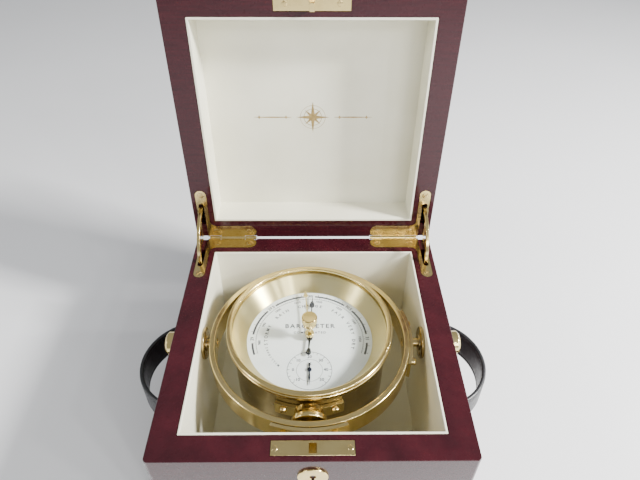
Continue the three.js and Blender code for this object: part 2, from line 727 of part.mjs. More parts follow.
function buildRing(group) {
  place(group, 'gimbal_ring', gimbalRing(), COLOURS.brass);
  place(group, 'ring_strip_right', ringStrip(0, CASE_PIVOT_RADIUS + RUNNING_GAP), COLOURS.brass);
  place(group, 'ring_strip_front', ringStrip(270, RING_PIVOT_RADIUS + GAP), COLOURS.brass);
  for (const [name, end] of ENDS) {
    place(group, `ring_pivot_${name}`, ringPivot(end), COLOURS.brass);
  }
}

// ---------- bowl ----------

function bowlCan() {
  const inner = BOWL_OUTER - BOWL_SKIN;
  const shoulder = GLASS_TOP - GLASS_THICK - 2 * GAP - CONE_SKIN;
  const flare = GLASS_RADIUS - BOWL_OUTER;
  return turned([
    [0, BOWL_BOTTOM],
    [BOWL_OUTER - BOWL_EDGE, BOWL_BOTTOM],
    ...arcPoints(BOWL_OUTER - BOWL_EDGE, BOWL_BOTTOM + BOWL_EDGE, BOWL_EDGE, -60, 0, 2),
    [BOWL_OUTER, shoulder - 2 * flare],
    [GLASS_RADIUS, shoulder - flare],
    [GLASS_RADIUS, shoulder],
    [GLASS_RADIUS - BOWL_SKIN, shoulder],
    [GLASS_RADIUS - BOWL_SKIN, shoulder - flare + GAP],
    [inner, shoulder - 2 * flare + GAP],
    [inner, BOWL_BOTTOM + BOWL_BASE_THICK],
    [0, BOWL_BOTTOM + BOWL_BASE_THICK],
  ], 44);
}

function bezel() {
  const seat = GLASS_TOP + GAP;
  return turned([
    [GLASS_RADIUS + GAP, BEZEL_BOTTOM],
    [BEZEL_OUTER, BEZEL_BOTTOM],
    ...arcPoints(BEZEL_OUTER - BEZEL_ROUNDING, BEZEL_TOP - BEZEL_ROUNDING, BEZEL_ROUNDING, 0, 90, 2),
    [BEZEL_LIP + BEZEL_ROUNDING / 2, BEZEL_TOP],
    [BEZEL_LIP, BEZEL_TOP - BEZEL_ROUNDING / 2],
    [BEZEL_LIP, seat],
    [GLASS_RADIUS + GAP, seat],
    [GLASS_RADIUS + GAP, BEZEL_BOTTOM],
  ], 48);
}

function glass() {
  return turned(ringProfile(GLASS_BORE, GLASS_RADIUS, GLASS_TOP - GLASS_THICK, GLASS_TOP));
}

// The bright cone between the glass and the dial.
function reflector() {
  const top = GLASS_TOP - GLASS_THICK - GAP;
  const bottom = DIAL_TOP + GAP;
  return turned([
    [DIAL_OPENING, bottom],
    [DIAL_OPENING + CONE_SKIN + GAP, bottom],
    [BEZEL_LIP + CONE_SKIN - GAP, top - CONE_SKIN],
    [GLASS_RADIUS, top - CONE_SKIN],
    [GLASS_RADIUS, top],
    [BEZEL_LIP, top],
    [DIAL_OPENING, bottom],
  ]);
}

function dial() {
  const low = DIAL_TOP - DIAL_THICK;
  const disc = turned(ringProfile(DIAL_BORE, DIAL_RADIUS, low, DIAL_TOP));
  const drill = turned(discProfile(THERMOMETER_BORE, low - OVER, DIAL_TOP + OVER), 12);
  const bore = drill.translate(0, THERMOMETER_Y, 0);
  return cut(disc, bore);
}

function trunnion(end) {
  const inner = BOWL_OUTER + GAP;
  const outer = inner + SADDLE_THICK;
  const saddle = sector(inner, outer, end * 90, SADDLE_HALF_DEG, -SADDLE_HALF_HEIGHT, SADDLE_HALF_HEIGHT);
  const [neck, cone, reach] = BOSS_REACH;
  const boss = turned([
    [0, inner + SADDLE_THICK / 2],
    [BOSS_NECK_RADIUS, inner + SADDLE_THICK / 2],
    [BOSS_NECK_RADIUS, inner + neck],
    [BOSS_RADIUS, inner + cone],
    [BOSS_RADIUS, inner + reach],
    [0, inner + reach],
  ], 24).rotateX((-end * Math.PI) / 2);
  const drill = onSide(end, RING_PIVOT_START - GAP, inner + reach + OVER);
  return cut(join(saddle, boss), rodY(RING_PIVOT_RADIUS + RUNNING_GAP, drill, 0, 0));
}

// ---------- movement in the bowl ----------

function movementPlate() {
  const low = BOWL_BOTTOM + BOWL_BASE_THICK + GAP;
  const plateTop = low + PLATE_THICK;
  const pillarTop = DIAL_TOP - DIAL_THICK - GAP;
  const pillars = PILLAR_DEGS.map((deg) => {
    const [[x, y]] = arcPoints(0, 0, PILLAR_CIRCLE, deg, deg, 1);
    return turned(discProfile(PILLAR_RADIUS, plateTop - GAP, pillarTop), 12).translate(x, y, 0);
  });
  return join(turned(discProfile(PLATE_RADIUS, low, plateTop), 40), ...pillars);
}

// A corrugated vacuum capsule, standing on a stud.
function aneroidCapsule() {
  const low = BOWL_BOTTOM + BOWL_BASE_THICK + PLATE_THICK + 2 * GAP;
  const middle = low + CAPSULE_MIDDLE;
  const shoulder = CAPSULE_RADIUS - 2;
  const [trough, ridge] = CAPSULE_WAVE;
  const steps = 2 * CAPSULE_RIDGES;
  const upper = [];
  for (let i = 0; i <= steps; i += 1) {
    upper.push([shoulder - (i * (shoulder - CAPSULE_STUD_RADIUS)) / steps, i % 2 ? ridge : trough]);
  }
  const lower = upper.map(([radius, rise]) => [radius, -rise]).reverse();
  const top = middle + CAPSULE_MIDDLE - GAP;
  return turned([
    [0, low],
    [CAPSULE_STUD_RADIUS, low],
    ...lower.map(([radius, rise]) => [radius, middle + rise]),
    [CAPSULE_RADIUS, middle],
    ...upper.map(([radius, rise]) => [radius, middle + rise]),
    [CAPSULE_STUD_RADIUS, top],
    [0, top],
  ], 20);
}

// A leaf spring that rises from a foot beside the capsule, and bends back over it.
function mainSpring() {
  const low = BOWL_BOTTOM + BOWL_BASE_THICK + PLATE_THICK + 2 * GAP;
  const bendZ = low + SPRING_THICK + SPRING_BEND;
  const footY = SPRING_BEND_Y - 2;
  const tipY = CAPSULE_STUD_RADIUS;
  const outline = [
    [footY, low],
    ...arcPoints(SPRING_BEND_Y, bendZ, SPRING_BEND + SPRING_THICK, -90, 90, 10),
    [tipY, bendZ + SPRING_BEND + SPRING_THICK],
    [tipY, bendZ + SPRING_BEND],
    ...arcPoints(SPRING_BEND_Y, bendZ, SPRING_BEND, 90, -90, 10),
    [footY, low + SPRING_THICK],
  ];
  return prismX(outline, [-SPRING_HALF_WIDTH, SPRING_HALF_WIDTH]);
}

// Flat spiral strip round the thermometer's arbor.
function bimetalCoil() {
  const steps = 16 * COIL_TURNS;
  const [start, end] = COIL_RADII;
  const spiral = (shift) => {
    const points = [];
    for (let i = 0; i <= steps; i += 1) {
      const angle = (i / steps) * COIL_TURNS * 2 * Math.PI;
      const radius = start + (i / steps) * (end - start) + shift;
      points.push([radius * Math.cos(angle), radius * Math.sin(angle) + THERMOMETER_Y]);
    }
    return points;
  };
  return prism([...spiral(COIL_STRIP), ...spiral(0).reverse()], ...COIL_Z);
}

// The rocking shaft, with the arm that draws the pointer's chain.
function rockingLever() {
  const span = [-LEVER_HALF_LENGTH, LEVER_HALF_LENGTH];
  const shaft = rodX(LEVER_SHAFT_RADIUS, span, LEVER_Y, LEVER_Z, 12);
  const height = [LEVER_Z - LEVER_HALF_THICK, LEVER_Z + LEVER_HALF_THICK];
  const limbs = [LEVER_ARM, LEVER_TOE].map(([x, reach]) => block(x, [LEVER_Y, LEVER_Y + reach], height));
  return join(shaft, ...limbs);
}

// ---------- pointers ----------

// A flat pointer along +Y with a hub, from an outline of [half width, distance] pairs.
function pointer(outline, z, hubRadius, hubLow, hubHigh) {
  const right = outline.map(([x, y]) => [x, y]);
  const left = outline.map(([x, y]) => [-x, y]).reverse();
  const distinct = [...right, ...left].filter(([x, y], i, all) => {
    const [px, py] = all[(i + all.length - 1) % all.length];
    return Math.hypot(x - px, y - py) > 1e-6;
  });
  return join(
    prism(distinct, z, z + HAND_THICK),
    turned(discProfile(hubRadius, hubLow, hubHigh), 24),
  );
}

function setKnob() {
  const stemLow = SET_HAND_Z + SET_HUB_HEIGHT + GAP;
  const neckLow = GLASS_TOP + GAP;
  const chamfer = KNOB_RADIUS - KNOB_NECK_RADIUS;
  return turned([
    [0, stemLow],
    [KNOB_STEM_RADIUS, stemLow],
    [KNOB_STEM_RADIUS, neckLow],
    [KNOB_NECK_RADIUS, neckLow],
    [KNOB_NECK_RADIUS, neckLow + KNOB_NECK_HEIGHT],
    [KNOB_RADIUS, neckLow + KNOB_NECK_HEIGHT + chamfer],
    [KNOB_RADIUS, KNOB_TOP - chamfer],
    [KNOB_RADIUS - chamfer, KNOB_TOP],
    [0, KNOB_TOP],
  ], 24);
}

function setHand() {
  const hubTop = SET_HAND_Z + SET_HUB_HEIGHT;
  const hand = pointer(SET_HAND_OUTLINE, SET_HAND_Z, SET_HUB_RADIUS, SET_HAND_Z, hubTop);
  return hand.rotateZ(THREE.MathUtils.degToRad(SET_HAND_DEG));
}

// The pressure hand with its arbor and the chain drum at the foot of the arbor.
function pressureHand() {
  const hub = [PRESSURE_HAND_Z - HAND_THICK, PRESSURE_HAND_Z + 2.5 * HAND_THICK];
  const hand = pointer(PRESSURE_HAND_OUTLINE, PRESSURE_HAND_Z, PRESSURE_HUB_RADIUS, ...hub);
  const [drumLow, drumHigh] = DRUM_Z;
  const arbor = turned([
    [0, ARBOR_FOOT],
    [ARBOR_RADIUS, ARBOR_FOOT],
    [ARBOR_RADIUS, drumLow],
    [DRUM_RADIUS, drumLow],
    [DRUM_RADIUS, drumHigh],
    [ARBOR_RADIUS, drumHigh],
    [ARBOR_RADIUS, PRESSURE_HAND_Z],
    [0, PRESSURE_HAND_Z],
  ], 16);
  return join(hand, arbor).rotateZ(THREE.MathUtils.degToRad(PRESSURE_HAND_DEG));
}

function thermometerHand() {
  const z = DIAL_TOP + HAND_THICK;
  const hub = [z - GAP, z + HAND_THICK + GAP];
  const hand = pointer(THERMOMETER_HAND_OUTLINE, z, THERMOMETER_HUB_RADIUS, ...hub);
  const arbor = turned(discProfile(THERMOMETER_ARBOR_RADIUS, THERMOMETER_ARBOR_FOOT, z), 12);
  return join(hand, arbor).rotateZ(Math.PI).translate(0, THERMOMETER_Y, 0);
}

function buildBowl(group) {
  place(group, 'bowl', bowlCan(), COLOURS.brass);
  place(group, 'bezel', bezel(), COLOURS.brass);
  place(group, 'glass', glass(), COLOURS.glass);
  place(group, 'reflector_cone', reflector(), COLOURS.brushedBrass);
  place(group, 'dial', dial(), COLOURS.dial);
  for (const [name, end] of ENDS) {
    place(group, `trunnion_${name}`, trunnion(end), COLOURS.brass);
  }
  place(group, 'movement_plate', movementPlate(), COLOURS.brass);
  place(group, 'aneroid_capsule', aneroidCapsule(), COLOURS.steel);
  place(group, 'main_spring', mainSpring(), COLOURS.steel);
  place(group, 'thermometer_coil', bimetalCoil(), COLOURS.steel);
  place(group, 'rocking_lever', rockingLever(), COLOURS.steel);
  place(group, 'set_knob', setKnob(), COLOURS.brass);
  place(group, 'set_hand', setHand(), COLOURS.brass);
  place(group, 'pressure_hand', pressureHand(), COLOURS.blued);
  place(group, 'thermometer_hand', thermometerHand(), COLOURS.blued);
}

// ---------- assembly ----------

const barometer = new THREE.Group();
buildBase(barometer);
buildLock(barometer);
buildHandles(barometer);

const lidTurn = new THREE.Group();
lidTurn.position.set(0, PIN_Y, PIN_Z);
lidTurn.rotation.x = -THREE.MathUtils.degToRad(OPEN_DEG);
const lid = new THREE.Group();
lid.position.set(0, -PIN_Y, -PIN_Z);
buildLid(lid);
lidTurn.add(lid);
barometer.add(lidTurn);

for (const [name, side] of SIDES) {
  place(barometer, `stay_${name}`, stay(side), COLOURS.brass);
}

const pivots = new THREE.Group();
pivots.position.set(0, 0, PIVOT_Z);
buildCasePivots(pivots);
barometer.add(pivots);

const gimbals = new THREE.Group();
gimbals.position.set(GIMBAL_X, 0, PIVOT_Z);
buildRing(gimbals);
buildBowl(gimbals);
barometer.add(gimbals);

export default barometer;
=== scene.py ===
"""Gimballed marine barometer in a lacquered case: the looks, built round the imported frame."""
import json
import random
from math import atan2, ceil, cos, pi, radians, sin, tan

import bmesh
import bpy
from mathutils import Matrix, Vector


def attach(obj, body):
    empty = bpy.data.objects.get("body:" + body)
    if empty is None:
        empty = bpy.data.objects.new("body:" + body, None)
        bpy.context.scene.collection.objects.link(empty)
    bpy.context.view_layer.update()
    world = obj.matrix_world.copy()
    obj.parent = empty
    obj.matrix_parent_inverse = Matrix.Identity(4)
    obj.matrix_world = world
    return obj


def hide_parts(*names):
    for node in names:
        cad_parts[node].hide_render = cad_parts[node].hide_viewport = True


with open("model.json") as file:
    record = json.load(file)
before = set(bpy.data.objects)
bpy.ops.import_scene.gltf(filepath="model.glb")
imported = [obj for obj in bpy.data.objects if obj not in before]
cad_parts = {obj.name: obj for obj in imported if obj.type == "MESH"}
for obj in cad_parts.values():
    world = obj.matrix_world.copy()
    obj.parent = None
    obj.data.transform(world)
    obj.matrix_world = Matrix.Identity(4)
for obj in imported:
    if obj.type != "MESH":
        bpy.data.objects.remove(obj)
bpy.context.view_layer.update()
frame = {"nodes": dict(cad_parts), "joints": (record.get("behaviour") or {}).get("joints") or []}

# ---------- places from the frame, in millimetres ----------

MM = 0.001
SIDES = {"left": -1, "right": 1}
ENDS = {"front": -1, "back": 1}


def mm_box(node, turn=None):
    """Lowest and highest corner of a CAD node in millimetres, after an optional turn of the row frame."""
    places = [vertex.co / MM for vertex in frame["nodes"][node].data.vertices]
    if turn:
        places = [turn @ place for place in places]
    low = Vector([min(place[i] for place in places) for i in range(3)])
    high = Vector([max(place[i] for place in places) for i in range(3)])
    return low, high


def find_joint(name):
    return next(joint for joint in frame["joints"] if joint["name"] == name)


HINGE = find_joint("lid_hinge")
PIN = Vector(HINGE["pos_m"]) / MM
OPEN_DEG = HINGE["range_deg"][1]
SHUT = Matrix.Translation(PIN) @ Matrix.Rotation(radians(OPEN_DEG), 4, "X") @ Matrix.Translation(-PIN)
OPEN = SHUT.inverted()
CENTRE = Vector(find_joint("ring_tilt")["pos_m"]) / MM
AT_CENTRE = Matrix.Translation(CENTRE)

INNER, HALF = (corner.x for corner in mm_box("base_wall_right"))
BASE_LOW, RIM = (corner.z for corner in mm_box("base_wall_front"))
FLOOR_TOP = mm_box("base_floor")[1].z
LID_LOW = mm_box("lid_wall_right", SHUT)[0].z
LID_INSIDE, LID_HIGH = (corner.z for corner in mm_box("lid_top", SHUT))
LINER_THICK = 1.5
LINING_FACE = mm_box("lid_liner", SHUT)[1].z - LINER_THICK
DIAL_TOP = mm_box("dial")[1].z - CENTRE.z

# ---------- driving dimensions, in millimetres ----------

GAP = 0.3
CORNER = 2.6  # the case's upright corners
LIP = 0.6  # the rims' edges
LID_EDGE = 2.2  # the lid's top edges

LEAF_THICK = 1.2
LEAF_OUTER = HALF - 3.5
LEAF_INNER = HALF - 12
LEAF_FRONT = 50
LEAF_BACK = HALF - 0.2
LEAF_ARM = 84
LEAF_FILLET = 5
SLOT_IN, SLOT_OUT, SLOT_FRONT = 86, 90, 62
KNUCKLES = (46.5, 55.7, 75.6, 84.7)
KNUCKLE_RADIUS = 1.6
KNUCKLE_BORE, HINGE_WIRE = 0.95, 0.75
LEAF_SCREW = 2.3
LEAF_SCREWS = ((87.25, 54.4), (52, 89.4), (78.5, 89.2))

STAY_IN, STAY_OUT, STAY_THICK, STAY_TAIL_DEG = 27.4, 30.6, 2.2, 13
STAY_ROUNDING = 1.2
POCKET_DEPTH, POCKET_CLEAR = 28, 0.1

RING_IN, RING_OUT, RING_HALF = 65.5, 69.5, 8.3
STRIP_THICK, STRIP_HALF, STRIP_HALF_DEG = 2.2, 7.4, 19.5
CASE_PIVOT, RING_PIVOT = 3, 2.4
CASE_BORE, RING_BORE = 3.4, 2.7
PIVOT_TIP = 4.5  # from the bowl's side to the inner end of its pivot
STRIP_SCREW_DEG, STRIP_SCREW = 13, 2.6
BUSH_RADIUS, BUSH_THICK, SLEEVE_RADIUS = 11.3, 3, 6.5
CAP_RADIUS, CAP_PROUD, CAP_SLOT = 9, 8, 1.6
BUSH_SCREW_DEGS, BUSH_SCREW_REACH, BUSH_SCREW = (90, 210, 330), 8.2, 1.5

BOWL_OUT, BOWL_SKIN, BOWL_LOW, BOWL_BASE = 53, 1.2, -42, 6
BEZEL_OUT, BEZEL_LIP, BEZEL_TOP, BEZEL_LOW = 56.6, 52.9, 21.2, 15.6
GLASS_TOP, GLASS_THICK, GLASS_RADIUS, GLASS_HOLE = 19, 2.4, 54.6, 1.7
DIAL_RADIUS, DIAL_OPENING, DIAL_THICK, CONE_SKIN = 46.5, 43.6, 0.8, 0.9
THERMOMETER_Y = -26.5
SADDLE_HALF_DEG, SADDLE_THICK, SADDLE_HALF = 23.5, 2.3, 5
SADDLE_SCREW_DEG, SADDLE_SCREW = 17.5, 2.6
BOSS_RADIUS, BOSS_NECK_RADIUS, BOSS_BORE = 11.8, 9.5, 2.8
BOSS_REACH = (4.5, 7.5, 10.6)  # neck, rim and face, from the saddle's inside
INK = 0.03

SET_HAND_Z, PRESSURE_HAND_Z, HAND_THICK = 9.2, 7, 0.6
SET_HUB_RADIUS, PRESSURE_HUB_RADIUS, THERMOMETER_HUB_RADIUS = 3.1, 2.4, 1.5
PRESSURE_REACH = 39.4
SET_HAND_DEG, PRESSURE_HAND_DEG = 5, -3
KNOB_TOP, KNOB_RADIUS, KNOB_NECK, KNOB_NOTCHES = 27.8, 5.35, 4.4, 48

STRAP_Z = RIM - 49
STRAP_THICK, STRAP_WIDTH, STRAP_REACH = 3.2, 24, 31.45
STRAP_RADIUS, STRAP_FOOT_RADIUS, STRAP_FOOT_END = 38.7, 6.6, 60
STITCH_LENGTH, STITCH_PITCH, STITCH_RADIUS, STITCH_START = 2.5, 3.7, 0.34, 4
STITCH_INSET, STITCH_SEAT = 2.85, 0.8  # from the strap's edge, and its share of the half thickness
PLATE_NEAR, PLATE_FAR, PLATE_HALF, PLATE_THICK = 42.5, 61, 13.5, 2
PLATE_CORNER, PLATE_SCREW_RISE, PLATE_SCREW = 3, 7.5, 2.9

LOCK_Y = -HALF + 8
LOCK_HALF_WIDTH, LOCK_DEPTH, LOCK_HALF_THICK = 20, 22, 4.5
LOCK_PLATE_HALF, LOCK_PLATE_THICK = 24, 1.4
LOCK_SCREW, LOCK_SCREW_REACH, STRIKE_SCREW_REACH = 1.7, 21.6, 17
ESCUTCHEON_RADIUS, ESCUTCHEON_Z, ESCUTCHEON_THICK = 9, RIM - 17, 1.5
ESCUTCHEON_PIN, ESCUTCHEON_PIN_REACH = 0.9, 6.6
KEYHOLE_RADIUS, KEYHOLE_RISE, KEYHOLE_HALF_SLIT, KEYHOLE_FOOT = 1.9, 1.5, 0.9, -4.5

# ---------- shapes ----------


def polar(radius, deg, centre=(0, 0)):
    return Vector((centre[0] + radius * cos(radians(deg)), centre[1] + radius * sin(radians(deg))))


def arc(radius, from_deg, to_deg, steps, centre=(0, 0)):
    return [polar(radius, from_deg + (to_deg - from_deg) * i / steps, centre) for i in range(steps + 1)]


def soft(points, steps=4):
    """A closed outline. A corner given with a third number becomes an arc of that radius."""
    outline = []
    for i, point in enumerate(points):
        corner = Vector(point[:2])
        radius = point[2] if len(point) > 2 else 0
        if not radius:
            outline.append(corner)
            continue
        before = (Vector(points[i - 1][:2]) - corner).normalized()
        after = (Vector(points[(i + 1) % len(points)][:2]) - corner).normalized()
        half = before.angle(after) / 2
        middle = corner + (before + after).normalized() * radius / sin(half)
        start = corner + before * radius / tan(half) - middle
        end = corner + after * radius / tan(half) - middle
        sweep = atan2(start.cross(end), start.dot(end))
        for step in range(steps + 1):
            outline.append(middle + Matrix.Rotation(sweep * step / steps, 2) @ start)
    return outline


def turned(profile, segments=160):
    """A closed body, from an outline of (radius, height) turned about Z."""
    shape = bmesh.new()
    rings = []
    for radius, height in profile:
        count = segments if radius > 1e-6 else 1
        angles = [2 * pi * i / count for i in range(count)]
        rings.append([shape.verts.new((radius * cos(a), radius * sin(a), height)) for a in angles])
    pairs = list(zip(rings, rings[1:]))
    if all(len(ring) > 1 for ring in rings):
        pairs.append((rings[-1], rings[0]))
    for low, high in pairs:
        for i in range(segments):
            j = (i + 1) % segments
            corners = (low[i % len(low)], low[j % len(low)], high[j % len(high)], high[i % len(high)])
            distinct = list(dict.fromkeys(corners))
            if len(distinct) > 2:
                shape.faces.new(distinct)
    bmesh.ops.recalc_face_normals(shape, faces=shape.faces)
    return shape


def cylinder(radius, low, high, segments):
    return turned([(0, low), (radius, low), (radius, high), (0, high)], segments)


def prism(outline, low, high):
    shape = bmesh.new()
    bottom = [shape.verts.new((x, y, low)) for x, y in outline]
    top = [shape.verts.new((x, y, high)) for x, y in outline]
    shape.faces.new(bottom)
    shape.faces.new(top)
    for i, corner in enumerate(bottom):
        shape.faces.new((bottom[i - 1], corner, top[i], top[i - 1]))
    bmesh.ops.recalc_face_normals(shape, faces=shape.faces)
    return shape


def block(x, y, z):
    return prism([(x[0], y[0]), (x[1], y[0]), (x[1], y[1]), (x[0], y[1])], *z)


def rounded_box(half, low, high, corner, low_edge, high_edge):
    """A square block with rounded uprights, and rounded edges at its foot and its top."""
    square = [(half, -half, corner), (half, half, corner), (-half, half, corner), (-half, -half, corner)]
    shape = prism(soft(square, 6), low, high)
    for height, radius in ((low, low_edge), (high, high_edge)):
        edges = [e for e in shape.edges if all(abs(v.co.z - height) < 1e-4 for v in e.verts)]
        bmesh.ops.bevel(shape, geom=edges, offset=radius, segments=4, affect="EDGES", profile=0.5)
    return shape


def moved(shape, matrix):
    shape.transform(matrix)
    if matrix.determinant() < 0:
        bmesh.ops.reverse_faces(shape, faces=shape.faces)
    return shape


def along_x(shape):
    """Turns a shape made along Z so that Z becomes X, X becomes Y and Y becomes Z."""
    return moved(shape, Matrix(((0, 0, 1, 0), (1, 0, 0, 0), (0, 1, 0, 0), (0, 0, 0, 1))))


def rod_x(radius, span, y, z, segments=48):
    return moved(along_x(cylinder(radius, *span, segments)), Matrix.Translation((0, y, z)))


def on_side(shape, side):
    """A shape made for the +X side, or its mirror image."""
    return moved(shape, Matrix.Diagonal((side, 1, 1, 1)))


def about_z(deg):
    return Matrix.Rotation(radians(deg), 4, "Z")


def outwards(deg):
    """Turns a shape made along Z to lie along the radius at that angle."""
    return about_z(deg) @ Matrix.Rotation(pi / 2, 4, "Y")


def linked(name, data):
    obj = bpy.data.objects.new(name, data)
    bpy.context.scene.collection.objects.link(obj)
    return obj


def mesh_of(name, shape):
    mesh = bpy.data.meshes.new(name)
    shape.to_mesh(mesh)
    shape.free()
    return mesh


def merged(shapes):
    whole = bmesh.new()
    for shape in shapes:
        mesh = mesh_of("scratch", shape)
        whole.from_mesh(mesh)
        bpy.data.meshes.remove(mesh)
    return whole


def combined(shape, tools, operation):
    target = linked("scratch", mesh_of("scratch", shape))
    tool = linked("scratch", mesh_of("scratch", merged(tools)))
    modifier = target.modifiers.new("cut", "BOOLEAN")
    modifier.operation = operation
    modifier.solver = "EXACT"
    modifier.use_self = True
    modifier.object = tool
    result = bmesh.new()
    result.from_object(target, bpy.context.evaluated_depsgraph_get())
    for obj in (target, tool):
        mesh = obj.data
        bpy.data.objects.remove(obj)
        bpy.data.meshes.remove(mesh)
    return result


def cut(shape, *tools):
    return combined(shape, tools, "DIFFERENCE")


def joined(shape, *others):
    return combined(shape, others, "UNION")


def piece(name, shape, finish, body, replaces=(), bevel=0, sharp_deg=32):
    """Makes an object of a shape given in millimetres, riding on a CAD body."""
    shape.transform(Matrix.Scale(MM, 4))
    bmesh.ops.remove_doubles(shape, verts=shape.verts, dist=2e-7)
    bmesh.ops.dissolve_degenerate(shape, edges=shape.edges, dist=1e-7)
    mesh = mesh_of(name, shape)
    mesh.materials.clear()
    mesh.materials.append(finish)
    mesh.shade_smooth()
    mesh.set_sharp_from_angle(angle=radians(sharp_deg))
    obj = linked(name, mesh)
    if bevel:
        add_bevel(obj, bevel)
    add_flat_shading(obj)
    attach(obj, body)
    if replaces:
        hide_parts(*replaces)
    return obj


def add_bevel(obj, width):
    modifier = obj.modifiers.new("edges", "BEVEL")
    modifier.width = width * MM
    modifier.segments = 3
    modifier.limit_method = "ANGLE"
    modifier.angle_limit = radians(40)
    modifier.use_clamp_overlap = True
    modifier.harden_normals = True


def add_flat_shading(obj):
    """Keeps a large face flat up to the small curved faces at its edges."""
    modifier = obj.modifiers.new("face_weights", "WEIGHTED_NORMAL")
    modifier.keep_sharp = True
    modifier.weight = 50


def carry(node, finish, bevel=0):
    """Gives a CAD node its material, and softens its edges."""
    obj = frame["nodes"][node]
    obj.data.materials.clear()
    obj.data.materials.append(finish)
    if bevel:
        weld = obj.modifiers.new("weld", "WELD")
        weld.merge_threshold = 1e-6
        add_bevel(obj, bevel)
        add_flat_shading(obj)


# ---------- screws ----------


def aimed(point, direction, roll=0):
    """Puts a shape made about the origin at a point, with its +Z along a direction."""
    turn = Vector(direction).to_track_quat("Z", "Y").to_matrix().to_4x4()
    return Matrix.Translation(point) @ turn @ Matrix.Rotation(roll, 4, "Z")


def screw_head(radius, dome):
    """A slotted head whose rim is at the origin's height; its cone lies below."""
    crown = [(radius - 0.25 * radius * i / 3, dome * sin(i / 3 * pi / 2)) for i in range(4)]
    head = turned([(0, -0.8), (radius * 0.6, -0.8), (radius, -0.2), *crown, (0, dome)], 32)
    slot = block((-radius * 1.2, radius * 1.2), (-radius * 0.13, radius * 0.13), (dome - 0.45, dome + 1))
    return cut(head, slot)


def screws(name, places, radius, finish, body, dome=0.12, seed=1, turn=None):
    """A set of screws, each given by a point and the direction that its head faces."""
    rolls = random.Random(seed)
    heads = []
    for point, direction in places:
        roll = rolls.uniform(0, pi)
        head = moved(screw_head(radius, dome), aimed(point, direction, roll))
        heads.append(moved(head, turn) if turn else head)
    return piece(name, merged(heads), finish, body)


def countersinks(places, radius):
    wide = radius + 0.12
    profile = [(0, -1), (wide * 0.6, -1), (wide, -0.2), (wide, 2), (0, 2)]
    return [moved(turned(profile, 32), aimed(point, direction)) for point, direction in places]


# ---------- materials ----------


def add(tree, kind, inputs=None, **settings):
    node = tree.nodes.new(kind)
    for key, value in settings.items():
        setattr(node, key, value)
    for socket, value in (inputs or {}).items():
        if isinstance(value, bpy.types.NodeSocket):
            tree.links.new(value, node.inputs[socket])
        else:
            node.inputs[socket].default_value = value
    return node


def noise(tree, scale, detail=4, stretch=(1, 1, 1)):
    place = add(tree, "ShaderNodeTexCoord").outputs["Object"]
    mapping = add(tree, "ShaderNodeMapping", {"Vector": place, "Scale": stretch}).outputs["Vector"]
    texture = add(tree, "ShaderNodeTexNoise", {"Vector": mapping, "Scale": scale, "Detail": detail})
    return texture.outputs["Fac"]


def ramp(tree, value, stops):
    """A colour ramp through (position, colour) stops."""
    node = add(tree, "ShaderNodeValToRGB", {"Fac": value})
    elements = node.color_ramp.elements
    while len(elements) < len(stops):
        elements.new(0.5)
    for element, (position, colour) in zip(elements, stops):
        element.position = position
        element.color = (*colour, 1)
    return node.outputs["Color"]


def spread(tree, value, low, high):
    inputs = {"Value": value, "From Min": 0.3, "From Max": 0.7, "To Min": low, "To Max": high}
    return add(tree, "ShaderNodeMapRange", inputs).outputs["Result"]


def bump(tree, surface, height, strength, distance):
    node = add(tree, "ShaderNodeBump", {"Height": height, "Strength": strength, "Distance": distance})
    tree.links.new(node.outputs["Normal"], surface.inputs["Normal"])


def textured(name, values, colour_noise, stops, rough_noise, roughness, relief=None):
    """A material whose colour, roughness and relief each follow a noise, given as noise()'s arguments."""
    material = bpy.data.materials.new(name)
    material.use_nodes = True
    tree = material.node_tree
    surface = tree.nodes["Principled BSDF"]
    for socket, value in values.items():
        surface.inputs[socket].default_value = value
    tree.links.new(ramp(tree, noise(tree, *colour_noise), stops), surface.inputs["Base Color"])
    tree.links.new(spread(tree, noise(tree, *rough_noise), *roughness), surface.inputs["Roughness"])
    if relief:
        relief_noise, strength, distance = relief
        bump(tree, surface, noise(tree, *relief_noise), strength, distance)
    return material


def brass_finish(name, dark, light, roughness, scratch):
    """Brass with faint tarnish and hairline marks."""
    return textured(name, {"Metallic": 1.0}, (55, 8), ((0.3, dark), (0.7, light)), (160, 6), roughness,
                    ((350, 2), scratch, 0.0001))


def turned_brass_finish():
    """Lathe-turned brass: fine rings about the dial's axis make its highlights run across them."""
    values = {"Metallic": 1.0, "Anisotropic": 0.9, "Anisotropic Rotation": 0.25}
    stops = ((0.3, (0.62, 0.51, 0.23)), (0.7, (0.72, 0.60, 0.29)))
    material = textured("turned_brass", values, (40, 5), stops, (120, 2), (0.28, 0.31))
    tree = material.node_tree
    surface = tree.nodes["Principled BSDF"]
    tangent = add(tree, "ShaderNodeTangent", direction_type="RADIAL", axis="Z").outputs["Tangent"]
    tree.links.new(tangent, surface.inputs["Tangent"])
    place = add(tree, "ShaderNodeTexCoord").outputs["Object"]
    rings = add(tree, "ShaderNodeTexWave", {"Vector": place, "Scale": 600, "Distortion": 0.0, "Detail": 0},
                wave_type="RINGS", rings_direction="Z", wave_profile="SIN").outputs["Fac"]
    bump(tree, surface, rings, 0.01, 0.0001)
    return material


def steel_finish(name, dark, light, roughness):
    return textured(name, {"Metallic": 1.0}, (300, 5), ((0.3, dark), (0.7, light)), (700, 4), roughness,
                    ((2500, 2), 0.03, 0.0001))


